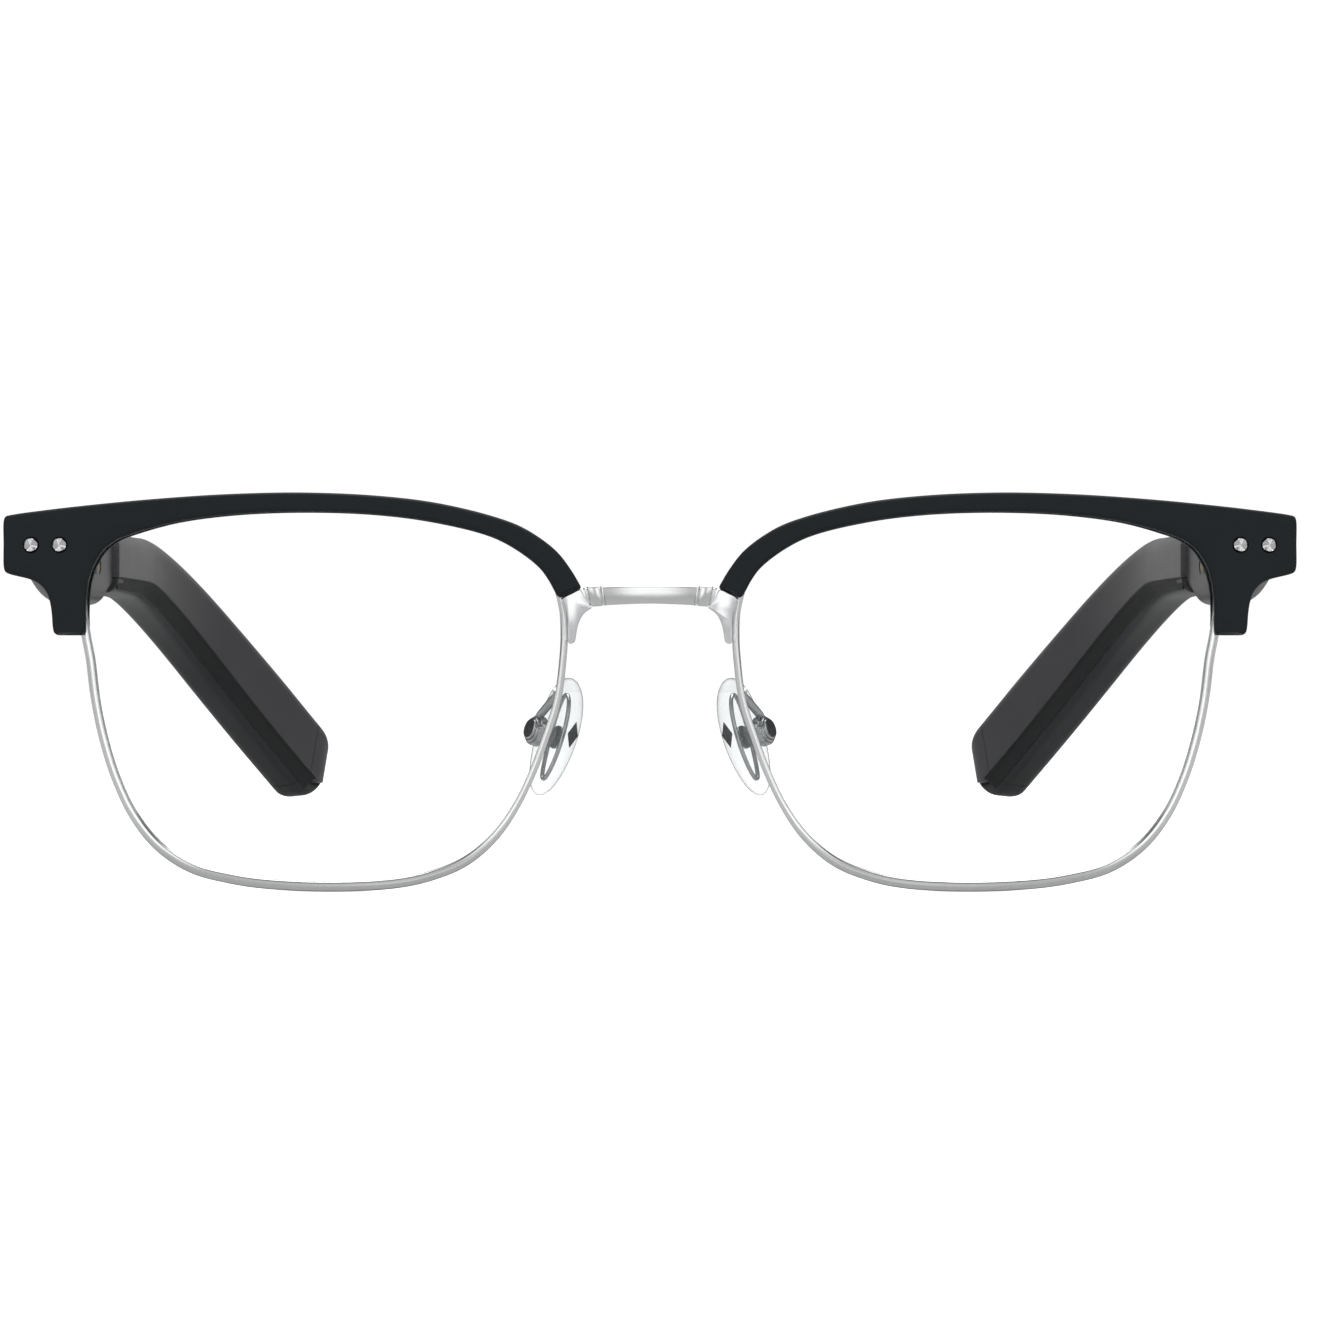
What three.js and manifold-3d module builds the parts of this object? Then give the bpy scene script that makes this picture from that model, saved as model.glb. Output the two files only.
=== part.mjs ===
// Smart glasses: a half-metal front with two dark brows, wire rims and clear lenses,
// and two folding temples that hold the electronics.
// Millimetres. +X is to the right seen from in front, +Y runs back along the temples, +Z is up.
import * as THREE from 'three';
import { mergeVertices } from 'three/addons/utils/BufferGeometryUtils.js';
import Module from 'manifold-3d';

const wasm = await Module();
wasm.setup();

// ---------- driving dimensions ----------
const gap = 0.3;                  // clearance between neighbouring pieces
const frontShift = 0;             // slides every front outline sideways: half the change of bridge width

const wrapRadius = 420;           // radius of the cylinder that the front is bowed around
const browDepth = 4.4;            // brow, front face to back
const browBevel = 0.35;
const browOuterX = 72.65;          // outermost point of the brow's end
const rimFront = 1.3;             // rim's front face behind the brow's front face
const rimDepth = 1.8;
const rimWidthNose = 0.8;         // width of the rim's face at the nose, the temple and the bottom
const rimWidthTemple = 1.0;
const rimWidthBottom = 1.15;
const rimGroove = 0.45;           // depth of the V groove that holds the lens
const lensThickness = 1.9;
const lensBulge = 1.6;            // how far the lens's middle stands forward of its edge

const bridgeHeight = 2.1;
const bridgeDepth = 1.5;
const bridgeArch = 0.15;          // rise of the bridge's middle
const bridgeTop = 33.95;          // height of the bridge's top edge at its middle
const bridgeFront = 0.6;

const hingeX = 66.9;              // pivot of each temple
const hingeY = 12.9;
const barrelRadius = 1.6;
const pinRadius = 0.6;
const leafThickness = 0.8;
const seatY = 10.7;               // flat back of the brow's end, where the temple butts
const knuckleHeight = 1.2;        // each of the three hinge knuckles
const rivetRadius = 0.83;
const rivetSpacing = 3.27;
const rivetHeight = 38.7;

const podLength = 39;             // front housing of the temple
const podInnerX = 65.5;           // head-side face of the temple
const podWidth = 6.7;             // temple thickness, outer face to head side
const podTop = 42.0;
const podBottom = 32.4;
const podBottomFront = 35.5;      // where the housing meets the brow's end
const podBottomRear = 34.0;
const podRearDrop = 0.4;          // fall of the housing's top from front to rear
const podCorner = 1.8;
const podLowCorner = 3.2;         // rounder corner under the housing's outer face
const wall = 1.1;                 // thickness of every moulded shell
const coverDepth = 2.2;           // depth of the tray that closes the housing on the head side

const armWidth = 6.9;             // ear piece at its front
const armHeight = 7.6;
const armInset = 0.75;            // its inner face stands this far inside the housing's
const armHeightZ = 37.8;          // height of the ear piece's centre line before it drops
const armTopCorner = 1.2;
const armLowCorner = 1.5;
const tipWidth = 6.7;             // ear piece at its tip
const tipHeight = 11.0;
const bendStart = 87.3;           // where the ear piece starts to drop
const bendRadius = 53.2;
const dropAngle = 31.4;           // degrees down, and inward seen from above, behind the bend
const inwardAngle = 24.85;
const tipReach = 148.2;           // how far back the ear piece ends
const lowerTrayDepth = 1.9;       // depth of the ear piece's lower tray
const endCapLength = 6;
const endRounding = 2.4;          // how far the end cap's outline draws in at its end

const batteryRadius = 1.9;
const batteryLength = 24;

const padLength = 13.8;
const padWidth = 7.6;
const padThickness = 2.0;
const padBoxRadius = 1.7;         // round box on the pad's back
const padBoxDepth = 1.6;
const padBossRadius = 1.1;        // stub on the pad that faces the box
const padBossDepth = 0.8;
const armWireRadius = 0.5;

// ---------- looks ----------
const finish = (color, roughness, metalness, opacity = 1) => new THREE.MeshStandardMaterial({
  color, roughness, metalness, opacity, transparent: opacity < 1,
});
const looks = {
  brow: finish(0x22282b, 0.45, 0),
  steel: finish(0xc9cbcd, 0.25, 1),
  lens: finish(0xf4f8fa, 0.03, 0, 0.25),
  silicone: finish(0xe8ecee, 0.2, 0, 0.5),
  temple: finish(0x303136, 0.38, 0),
  speaker: finish(0x151515, 0.6, 0.2),
  board: finish(0x1c5136, 0.6, 0),
  battery: finish(0x9ea3a8, 0.35, 0.8),
  contact: finish(0xd9b65c, 0.25, 1),
};

// ---------- outlines of the right half of the front, seen from in front: [x, z] ----------
const at = ([x, z]) => new THREE.Vector2(x + frontShift, z);
const lensOutline = [
  [35.6, 1.1], [28.4, 1.5], [24.6, 2.3], [20.9, 3.8], [17.7, 6.4], [15.3, 9.7], [13.5, 13.3],
  [10.7, 21.4], [9.95, 27.5], [10.0, 31.0], [11.3, 35.0], [14.6, 38.5], [20.4, 40.8],
  [27.2, 42.0], [36.0, 42.6], [45.7, 42.4], [52.5, 41.6], [57.8, 40.3], [61.3, 38.5],
  [63.1, 35.2], [63.3, 31.5], [62.4, 26.0], [61.8, 21.3], [59.5, 12.7], [57.6, 8.8],
  [54.8, 5.4], [51.1, 3.05], [46.9, 1.95], [43.0, 1.4],
].map(at);
const lensCentre = at([36.6, 22.0]);
const browTopEdge = [
  [8.9, 36.0], [10.5, 38.0], [12.2, 39.4], [13.9, 40.4], [17.2, 41.7], [20.5, 42.8],
  [27.2, 43.8], [33.9, 44.3], [38.9, 44.5], [47.4, 44.3], [55.5, 43.8], [61.3, 43.3],
  [67.1, 42.7], [72.1, 42.1],
].map(at);
const browStep = [[68.5, 34.3], [67.7, 33.4], [67.2, 32.0], [66.9, 29.2]].map(at);
const browLensEdge = [
  [63.2, 32.3], [62.9, 34.6], [62.2, 36.6], [61.2, 38.0], [59.6, 39.2], [57.5, 40.0],
  [54.1, 41.0], [49.1, 41.7], [40.6, 42.3], [35.6, 42.3], [30.6, 42.0], [23.9, 41.1],
  [20.5, 40.5], [17.2, 39.3], [13.9, 37.4], [12.2, 35.9], [10.9, 34.0], [10.2, 33.0],
].map(at);

// ---------- helpers ----------
const radians = THREE.MathUtils.degToRad;
const lerp = THREE.MathUtils.lerp;
const smooth = THREE.MathUtils.smoothstep;
const wrapAt = (x) => (x * x) / (2 * wrapRadius);
const model = new THREE.Group();
const right = new THREE.Group();
const left = new THREE.Group();
left.scale.x = -1;
model.add(right, left);

// Merges shared vertices and drops the triangles that this closes up.
function weld(geometry) {
  geometry.deleteAttribute('normal');
  geometry.deleteAttribute('uv');
  const merged = mergeVertices(geometry, 1e-4);
  const source = merged.index.array;
  const index = [];
  for (let i = 0; i < source.length; i += 3) {
    const [a, b, c] = source.slice(i, i + 3);
    if (a !== b && b !== c && c !== a) {
      index.push(a, b, c);
    }
  }
  merged.setIndex(index);
  return merged;
}

function toSolid(geometry) {
  const clean = weld(geometry);
  return new wasm.Manifold(new wasm.Mesh({
    numProp: 3,
    vertProperties: new Float32Array(clean.attributes.position.array),
    triVerts: new Uint32Array(clean.index.array),
  }));
}

function fromSolid(solid) {
  const mesh = solid.getMesh();
  const geometry = new THREE.BufferGeometry();
  geometry.setAttribute('position', new THREE.BufferAttribute(mesh.vertProperties, 3));
  geometry.setIndex(new THREE.BufferAttribute(mesh.triVerts, 1));
  return geometry;
}

function cut(geometry, ...tools) {
  return fromSolid(tools.reduce((solid, tool) => solid.subtract(toSolid(tool)), toSolid(geometry)));
}

function join(geometry, ...others) {
  return fromSolid(others.reduce((solid, other) => solid.add(toSolid(other)), toSolid(geometry)));
}

function bow(geometry) {
  const position = geometry.attributes.position;
  for (let i = 0; i < position.count; i++) {
    position.setY(i, position.getY(i) + wrapAt(position.getX(i)));
  }
  return geometry;
}

// Closed skin over a row of rings that all have the same number of points, with flat ends.
function loft(rings) {
  const count = rings[0].length;
  const index = [];
  rings.slice(1).forEach((ring, r) => {
    for (let i = 0; i < count; i++) {
      const a = r * count + i;
      const b = r * count + ((i + 1) % count);
      index.push(a, b, b + count, a, b + count, a + count);
    }
  });
  const geometry = new THREE.BufferGeometry().setFromPoints(rings.flat());
  const last = (rings.length - 1) * count;
  for (const [a, b, c] of capTriangles(rings[0])) {
    index.push(a, c, b, last + a, last + b, last + c);
  }
  geometry.setIndex(index);
  return outward(geometry);
}

function capTriangles(ring) {
  const origin = ring[0];
  const normal = new THREE.Vector3();
  ring.forEach((point, i) => normal.add(point.clone().cross(ring[(i + 1) % ring.length])));
  normal.normalize();
  const across = ring[1].clone().sub(origin).normalize();
  const along = normal.clone().cross(across);
  const flat = ring.map((point) => {
    const offset = point.clone().sub(origin);
    return new THREE.Vector2(offset.dot(across), offset.dot(along));
  });
  return THREE.ShapeUtils.triangulateShape(flat, []);
}

// Turns every triangle over if the skin encloses a negative volume.
function outward(geometry) {
  const position = geometry.attributes.position;
  const index = geometry.index.array;
  const corner = (i) => new THREE.Vector3().fromBufferAttribute(position, index[i]);
  let volume = 0;
  for (let i = 0; i < index.length; i += 3) {
    volume += corner(i).dot(corner(i + 1).cross(corner(i + 2)));
  }
  if (volume < 0) {
    for (let i = 0; i < index.length; i += 3) {
      [index[i + 1], index[i + 2]] = [index[i + 2], index[i + 1]];
    }
  }
  return geometry;
}

// Solid block between two corners.
function block(x0, x1, y0, y1, z0, z1) {
  const geometry = new THREE.BoxGeometry(x1 - x0, y1 - y0, z1 - z0);
  return geometry.translate((x0 + x1) / 2, (y0 + y1) / 2, (z0 + z1) / 2);
}

// Turned piece from [radius, height] steps, standing at a point and pointing along a direction.
function turned(steps, foot, direction, segments = 20) {
  const profile = steps.map(([radius, height]) => new THREE.Vector2(radius, height));
  const geometry = new THREE.LatheGeometry(profile, segments);
  geometry.applyQuaternion(new THREE.Quaternion().setFromUnitVectors(
    new THREE.Vector3(0, 1, 0), direction.clone().normalize(),
  ));
  return outward(weld(geometry.translate(foot.x, foot.y, foot.z)));
}

function rod(radius, foot, direction, length, segments = 20) {
  return turned([[0, 0], [radius, 0], [radius, length], [0, length]], foot, direction, segments);
}

// Plate with an outline seen from in front, from y0 back to y1.
function plate(shape, y0, y1, bevel = 0) {
  const geometry = new THREE.ExtrudeGeometry(shape, {
    depth: y1 - y0 - 2 * bevel,
    bevelEnabled: bevel > 0,
    bevelThickness: bevel,
    bevelSize: bevel,
    bevelOffset: -bevel,
    bevelSegments: 1,
    curveSegments: 1,
  });
  geometry.rotateX(Math.PI / 2);
  return outward(weld(geometry.translate(0, y1 - bevel, 0)));
}

function add(group, name, geometry, look) {
  const mesh = new THREE.Mesh(geometry, looks[look]);
  mesh.name = name;
  group.add(mesh);
}

// The same piece on both sides; the left one is a mirror image.
function addPair(name, geometry, look) {
  add(right, `${name}_right`, geometry, look);
  add(left, `${name}_left`, geometry, look);
}

// ---------- rims and lenses ----------
const edgeCount = 48;
const closedCurve = new THREE.CatmullRomCurve3(
  lensOutline.map((p) => new THREE.Vector3(p.x, p.y, 0)), true, 'centripetal',
);
const edgePoints = closedCurve.getSpacedPoints(edgeCount).slice(0, edgeCount);
const edgeNormals = edgePoints.map((point, i) => {
  const before = edgePoints[(i + edgeCount - 1) % edgeCount];
  const after = edgePoints[(i + 1) % edgeCount];
  const normal = new THREE.Vector3(after.y - before.y, before.x - after.x, 0).normalize();
  const fromCentre = new THREE.Vector3(point.x - lensCentre.x, point.y - lensCentre.y, 0);
  return normal.dot(fromCentre) < 0 ? normal.negate() : normal;
});

function rimWidthAt(point) {
  const side = smooth(point.x, lensCentre.x - 20, lensCentre.x + 20);
  const low = 1 - smooth(point.y, 1, 12);
  return lerp(lerp(rimWidthNose, rimWidthTemple, side), rimWidthBottom, low);
}

// Ring around the lens opening: section(width) gives [outward, back] offsets from the lens edge.
function ringAround(section) {
  const rings = edgePoints.map((point, i) => section(rimWidthAt(point)).map(([out, back]) => (
    new THREE.Vector3(
      point.x + edgeNormals[i].x * out, back, point.y + edgeNormals[i].y * out,
    )
  )));
  const count = rings[0].length;
  const index = [];
  rings.forEach((ring, r) => {
    const next = ((r + 1) % rings.length) * count;
    for (let i = 0; i < count; i++) {
      const j = (i + 1) % count;
      index.push(r * count + i, r * count + j, next + j, r * count + i, next + j, next + i);
    }
  });
  const geometry = new THREE.BufferGeometry().setFromPoints(rings.flat());
  geometry.setIndex(index);
  return outward(geometry);
}

const rimBack = rimFront + rimDepth;
const rimMiddle = rimFront + rimDepth / 2;
const lockX = 65.2 + frontShift;        // closing block of the rim, inside the brow's foot
const lockBottom = 29.6;
const lockHeight = 3.6;
const lockHalf = 1.0;
const lockY = rimMiddle;

const rimRing = ringAround((width) => [
  [0, rimFront], [width, rimFront], [width, rimBack], [0, rimBack],
  [0, rimMiddle + rimGroove], [rimGroove, rimMiddle], [0, rimMiddle - rimGroove],
]);
const lockBlock = block(
  63.7 + frontShift, lockX + lockHalf, lockY - lockHalf, lockY + lockHalf,
  lockBottom, lockBottom + lockHeight,
);
const lockAxis = new THREE.Vector3(0, 0, 1);
const lockHole = rod(0.65, new THREE.Vector3(lockX, lockY, lockBottom - 1), lockAxis, 10, 16);
addPair('rim', bow(cut(join(rimRing, lockBlock), lockHole)), 'steel');
addPair('rim_lock_screw', bow(turned(
  [[0, 0], [0.75, 0], [0.75, 0.5], [0.35, 0.5], [0.35, 3.6], [0, 3.6]],
  new THREE.Vector3(lockX, lockY, lockBottom - gap - 0.5), lockAxis, 12,
)), 'steel');

function lensGeometry() {
  const rings = 2;
  const half = lensThickness / 2;
  const inset = gap;
  const points = [];
  const face = (back) => {
    const start = points.length;
    points.push(new THREE.Vector3(lensCentre.x, rimMiddle + back - lensBulge, lensCentre.y));
    for (let r = 1; r <= rings; r++) {
      const share = r / rings;
      edgePoints.forEach((point, i) => {
        const x = point.x - edgeNormals[i].x * inset;
        const z = point.y - edgeNormals[i].y * inset;
        points.push(new THREE.Vector3(
          lerp(lensCentre.x, x, share),
          rimMiddle + back - lensBulge * (1 - share * share),
          lerp(lensCentre.y, z, share),
        ));
      });
    }
    return start;
  };
  const index = [];
  const faceTriangles = (start, flip) => {
    const put = (a, b, c) => (flip ? index.push(a, c, b) : index.push(a, b, c));
    for (let i = 0; i < edgeCount; i++) {
      const j = (i + 1) % edgeCount;
      put(start, start + 1 + i, start + 1 + j);
      for (let r = 0; r < rings - 1; r++) {
        const inner = start + 1 + r * edgeCount;
        const outer = inner + edgeCount;
        put(inner + i, outer + i, outer + j);
        put(inner + i, outer + j, inner + j);
      }
    }
  };
  const front = face(-half);
  const rear = face(half);
  faceTriangles(front, false);
  faceTriangles(rear, true);
  const ridge = points.length;
  edgePoints.forEach((point, i) => points.push(new THREE.Vector3(
    point.x + edgeNormals[i].x * (rimGroove - gap), rimMiddle,
    point.y + edgeNormals[i].y * (rimGroove - gap),
  )));
  const frontEdge = front + 1 + (rings - 1) * edgeCount;
  const rearEdge = rear + 1 + (rings - 1) * edgeCount;
  for (let i = 0; i < edgeCount; i++) {
    const j = (i + 1) % edgeCount;
    index.push(frontEdge + i, ridge + i, ridge + j, frontEdge + i, ridge + j, frontEdge + j);
    index.push(ridge + i, rearEdge + i, rearEdge + j, ridge + i, rearEdge + j, ridge + j);
  }
  const geometry = new THREE.BufferGeometry().setFromPoints(points);
  geometry.setIndex(index);
  return outward(geometry);
}
addPair('lens', bow(lensGeometry()), 'lens');

// ---------- brows ----------
const rimTunnel = () => ringAround((width) => [
  [-4, rimFront - gap], [width + gap, rimFront - gap],
  [width + gap, rimBack + gap], [-4, rimBack + gap],
]);

function browShape() {
  const shape = new THREE.Shape();
  const corner = (x, z) => at([x, z]);
  shape.moveTo(7.7 + frontShift, 33.85);
  shape.splineThru(browTopEdge);
  const side = browOuterX;
  shape.quadraticCurveTo(...corner(side, 42.0).toArray(), ...corner(side, 41.5).toArray());
  shape.lineTo(...corner(side, 36.0).toArray());
  shape.quadraticCurveTo(...corner(side - 0.1, 35.6).toArray(), ...corner(71.9, 35.4).toArray());
  shape.splineThru(browStep);
  shape.quadraticCurveTo(...corner(66.9, 28.6).toArray(), ...corner(66.4, 28.55).toArray());
  shape.lineTo(...corner(63.6, 28.5).toArray());
  shape.quadraticCurveTo(...corner(63.2, 28.5).toArray(), ...corner(63.2, 29.0).toArray());
  shape.splineThru(browLensEdge);
  shape.quadraticCurveTo(...corner(9.9, 32.5).toArray(), ...corner(9.5, 32.75).toArray());
  return shape;
}

const rivetX = [hingeX - 0.75, hingeX - 0.75 + rivetSpacing];
const leafBox = {
  x0: hingeX - 1.7, x1: hingeX + 4.1, z0: rivetHeight - 1.9, z1: rivetHeight + 2.3,
};

function browGeometry() {
  const slab = bow(plate(browShape(), 0, browDepth, browBevel));
  const seat = block(
    leafBox.x0 - 0.9, leafBox.x1 + 1.0, wrapAt(hingeX) + 1.5, seatY, leafBox.z0 - 0.9, leafBox.z1 + 0.7,
  );
  const tunnel = bow(rimTunnel());
  const lockPocket = bow(block(
    63.5 + frontShift, lockX + lockHalf + gap, lockY - lockHalf - gap, lockY + lockHalf + gap,
    lockBottom - 3, lockBottom + lockHeight + gap,
  ));
  const leafPocket = block(
    leafBox.x0 - gap, leafBox.x1 + gap, seatY - leafThickness - gap, seatY + 2,
    leafBox.z0 - gap, leafBox.z1 + gap,
  );
  const rivetHoles = rivetX.map((x) => turned(
    [[0, -6], [rivetRadius + gap, -6], [rivetRadius + gap, 1.1], [0.75, 1.1], [0.75, 8], [0, 8]],
    new THREE.Vector3(x, wrapAt(x), rivetHeight), new THREE.Vector3(0, 1, 0), 16,
  ));
  return cut(join(slab, seat), tunnel, lockPocket, leafPocket, ...rivetHoles);
}
addPair('brow', browGeometry(), 'brow');

['inner', 'outer'].forEach((which, i) => {
  const front = wrapAt(rivetX[i]) - 0.15;
  const length = seatY - gap - front;
  addPair(`rivet_${which}`, turned(
    [[0, 0], [rivetRadius - 0.15, 0], [rivetRadius, 0.12], [rivetRadius, 0.9], [0.45, 0.9],
      [0.45, length], [0, length]],
    new THREE.Vector3(rivetX[i], front, rivetHeight), new THREE.Vector3(0, 1, 0), 16,
  ), 'steel');
});

// ---------- bridge ----------
const bridgeHalf = 6.9;                 // half length at mid height; the ends slope
const bridgeSlope = 0.3;
const bridgeStations = [
  // [x, extra thickness all round]
  [bridgeHalf, 0.1], [5.55, 0.1], [5.5, -0.12], [5.15, -0.12], [5.1, 0], [2.5, 0], [0, 0],
];

function bridgeRing([x, swell]) {
  const side = Math.sign(x);
  const along = Math.abs(x) + frontShift;
  const rise = bridgeArch * (1 - (along / bridgeHalf) ** 2);
  const top = bridgeTop - bridgeArch + rise + swell;
  const bottom = top - bridgeHeight - 2 * swell;
  const slope = side * bridgeSlope * Math.min(1, along / bridgeHalf);
  const soft = 0.25;
  return [
    [bridgeFront - swell, bottom + soft], [bridgeFront - swell, top - soft],
    [bridgeFront - swell + soft, top], [bridgeFront + bridgeDepth - soft, top],
    [bridgeFront + bridgeDepth, top - soft], [bridgeFront + bridgeDepth, bottom + soft],
    [bridgeFront + bridgeDepth - soft, bottom], [bridgeFront - swell + soft, bottom],
  ].map(([y, z]) => {
    const lean = slope * ((z - bottom) / (top - bottom) - 0.5) * 2;
    return new THREE.Vector3(side * along + lean, y, z);
  });
}
const bridgeRow = [
  ...bridgeStations.map(([x, swell]) => [x, swell]),
  ...bridgeStations.slice(0, -1).reverse().map(([x, swell]) => [-x, swell]),
];
add(model, 'bridge_bar', loft(bridgeRow.map(bridgeRing)), 'steel');

const bracketFront = bridgeFront + 0.1;
const bracketBack = rimBack - 0.3;
const bracketShape = new THREE.Shape([
  [7.75, 33.35], [7.05, 31.6], [7.5, 30.85], [8.0, 29.7], [8.3, 28.0], [8.5, 27.65],
  [9.8, 27.6], [9.8, 32.35],
].map(at));
addPair('bridge_bracket', cut(
  bow(plate(bracketShape, bracketFront, bracketBack, 0.12)), bow(rimTunnel()),
), 'steel');

// ---------- nose pads ----------
const padNormal = new THREE.Vector3(-0.82, 0.5, -0.28).normalize();       // faces the nose
const padAxis = new THREE.Vector3(0.266, -0.1, -0.96);                    // down the pad's length
padAxis.addScaledVector(padNormal, -padAxis.dot(padNormal)).normalize();
const padAcross = padNormal.clone().cross(padAxis);
const boxCentre = new THREE.Vector3(13.0 + frontShift, 8.3, 17.9);
const padStandOff = padBoxDepth / 2 + gap + padBossDepth + padThickness / 2;
const padCentre = boxCentre.clone().addScaledVector(padNormal, padStandOff);

function padPoint(along, across, through) {
  return padCentre.clone()
    .addScaledVector(padAxis, along)
    .addScaledVector(padAcross, across)
    .addScaledVector(padNormal, through);
}

// Egg-shaped pad: rings of one outline, crowned towards the nose.
function padGeometry() {
  const levels = [[0.82, -0.5], [0.97, -0.3], [1, 0], [0.93, 0.3], [0.72, 0.5]];
  const rings = levels.map(([share, height]) => Array.from({ length: 24 }, (_, i) => {
    const angle = (i / 24) * Math.PI * 2;
    const along = Math.cos(angle) * (padLength / 2) * share;
    const narrow = 1 - 0.1 * Math.cos(angle);
    const across = Math.sin(angle) * (padWidth / 2) * share * narrow;
    return padPoint(along, across, height * padThickness);
  }));
  const boss = rod(
    padBossRadius, padPoint(0, 0, -padThickness / 2 - padBossDepth), padNormal, padBossDepth + 0.5, 12,
  );
  return join(loft(rings), boss);
}
addPair('nose_pad', padGeometry(), 'silicone');

// Wire from the rim's nose side, back and round to the cup that holds the pad's box.
const wireRoot = new THREE.Vector3(10.0 + frontShift, rimBack + wrapAt(10) + gap + armWireRadius, 24.0);
const cupBack = boxCentre.clone().addScaledVector(padNormal, -padBoxDepth / 2);
const wirePath = new THREE.CatmullRomCurve3([
  wireRoot,
  wireRoot.clone().add(new THREE.Vector3(0.3, 2.0, -0.4)),
  wireRoot.clone().add(new THREE.Vector3(1.6, 4.3, -2.4)),
  cupBack.clone().addScaledVector(padNormal, -1.2).add(new THREE.Vector3(0.4, 0.4, 1.8)),
  cupBack.clone().addScaledVector(padNormal, -0.2),
], false, 'centripetal');
const wireSection = new THREE.Shape(Array.from({ length: 6 }, (_, i) => new THREE.Vector2(
  Math.cos((i * Math.PI) / 3) * armWireRadius, Math.sin((i * Math.PI) / 3) * armWireRadius,
)));
const wire = new THREE.ExtrudeGeometry(wireSection, { steps: 12, extrudePath: wirePath });
const cup = turned(
  [[0, 0], [padBoxRadius - 0.3, 0], [padBoxRadius, 0.3], [padBoxRadius, padBoxDepth], [0, padBoxDepth]],
  cupBack, padNormal, 20,
);
const padScrewHole = rod(
  0.75, boxCentre.clone().addScaledVector(padAcross, -4), padAcross, 8, 12,
);
addPair('pad_arm', cut(join(outward(weld(wire)), cup), padScrewHole), 'steel');
addPair('pad_screw', turned(
  [[0, 0], [0.45, 0], [0.45, 2 * padBoxRadius + 0.2], [0, 2 * padBoxRadius + 0.2]],
  boxCentre.clone().addScaledVector(padAcross, -padBoxRadius - 0.1), padAcross, 12,
), 'steel');

// ---------- hinges ----------
const upZ = new THREE.Vector3(0, 0, 1);
const hingeFoot = (z) => new THREE.Vector3(hingeX, hingeY, z);
const knuckleStep = knuckleHeight + gap;
const barrels = {
  low: [leafBox.z0, leafBox.z0 + knuckleHeight],
  middle: [leafBox.z0 + knuckleStep, leafBox.z0 + knuckleStep + knuckleHeight],
  high: [leafBox.z0 + 2 * knuckleStep, leafBox.z0 + 2 * knuckleStep + knuckleHeight],
};
const pinHole = () => rod(pinRadius + gap, hingeFoot(30), upZ, 20, 16);

function frontLeaf() {
  const webs = [barrels.low, barrels.high].flatMap(([z0, z1]) => [
    rod(barrelRadius, hingeFoot(z0), upZ, z1 - z0),
    block(hingeX - 1.2, hingeX + 1.2, seatY - 0.2, hingeY, z0, z1),
  ]);
  const leaf = join(
    block(leafBox.x0, leafBox.x1, seatY - leafThickness, seatY, leafBox.z0, leafBox.z1), ...webs,
  );
  const holes = rivetX.map((x) => rod(
    0.75, new THREE.Vector3(x, seatY - 2, rivetHeight), new THREE.Vector3(0, 1, 0), 2.05, 16,
  ));
  return cut(leaf, pinHole(), ...holes);
}
addPair('hinge_front_leaf', frontLeaf(), 'steel');

const leafInner = podInnerX + wall + 0.4;      // rear leaf lies just inside the cover
const leafLength = 11;
const screwY = hingeY + 8.5;
const screwZ = (barrels.middle[0] + barrels.middle[1]) / 2;
function rearLeaf() {
  const leaf = join(
    rod(barrelRadius, hingeFoot(barrels.middle[0]), upZ, barrels.middle[1] - barrels.middle[0]),
    block(leafInner, leafInner + 1.2, hingeY, hingeY + 4, barrels.middle[0], barrels.middle[1]),
    block(leafInner, leafInner + 1.2, hingeY + 3, hingeY + leafLength, screwZ - 1.4, screwZ + 1.4),
  );
  const screwHole = rod(
    0.75, new THREE.Vector3(podInnerX - 2, screwY, screwZ), new THREE.Vector3(1, 0, 0), 8, 16,
  );
  return cut(leaf, pinHole(), screwHole);
}
addPair('hinge_rear_leaf', rearLeaf(), 'steel');

addPair('hinge_pin', turned(
  [[0, 0], [pinRadius, 0], [pinRadius, 4.6], [1.1, 4.6], [1.1, 5.1], [0, 5.1]],
  hingeFoot(leafBox.z0 - 0.1), upZ, 16,
), 'steel');
addPair('temple_screw', turned(
  [[0, 0], [0.85, 0], [0.85, 0.5], [0.4, 0.5], [0.4, 2.6], [0, 2.6]],
  new THREE.Vector3(podInnerX, screwY, screwZ), new THREE.Vector3(1, 0, 0), 12,
), 'steel');

// ---------- temple: shared shell section ----------
// U-shaped tray section. Its open side lies on the line q = 0 and it reaches down to q = -depth.
// Its second corner may have a larger radius, and the wall inside it is then cut off at an angle.
function tray(width, depth, radius, lowRadius = radius) {
  const half = width / 2;
  const steps = 4;
  const corner = (cx, cq, r, start) => Array.from({ length: steps + 1 }, (_, i) => {
    const angle = start - (i / steps) * (Math.PI / 2);
    return [cx + Math.cos(angle) * r, cq + Math.sin(angle) * r];
  });
  const slant = lowRadius - radius;
  const inside = slant > 0
    ? [[-half + wall, -depth + wall + slant], [-half + wall + slant, -depth + wall]]
    : [[-half + wall, -depth + wall]];
  return [
    [half, 0], ...corner(half - radius, -depth + radius, radius, 0),
    ...corner(-half + lowRadius, -depth + lowRadius, lowRadius, -Math.PI / 2), [-half, 0],
    [-half + wall, 0], ...inside, [half - wall, -depth + wall], [half - wall, 0],
  ];
}

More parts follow.
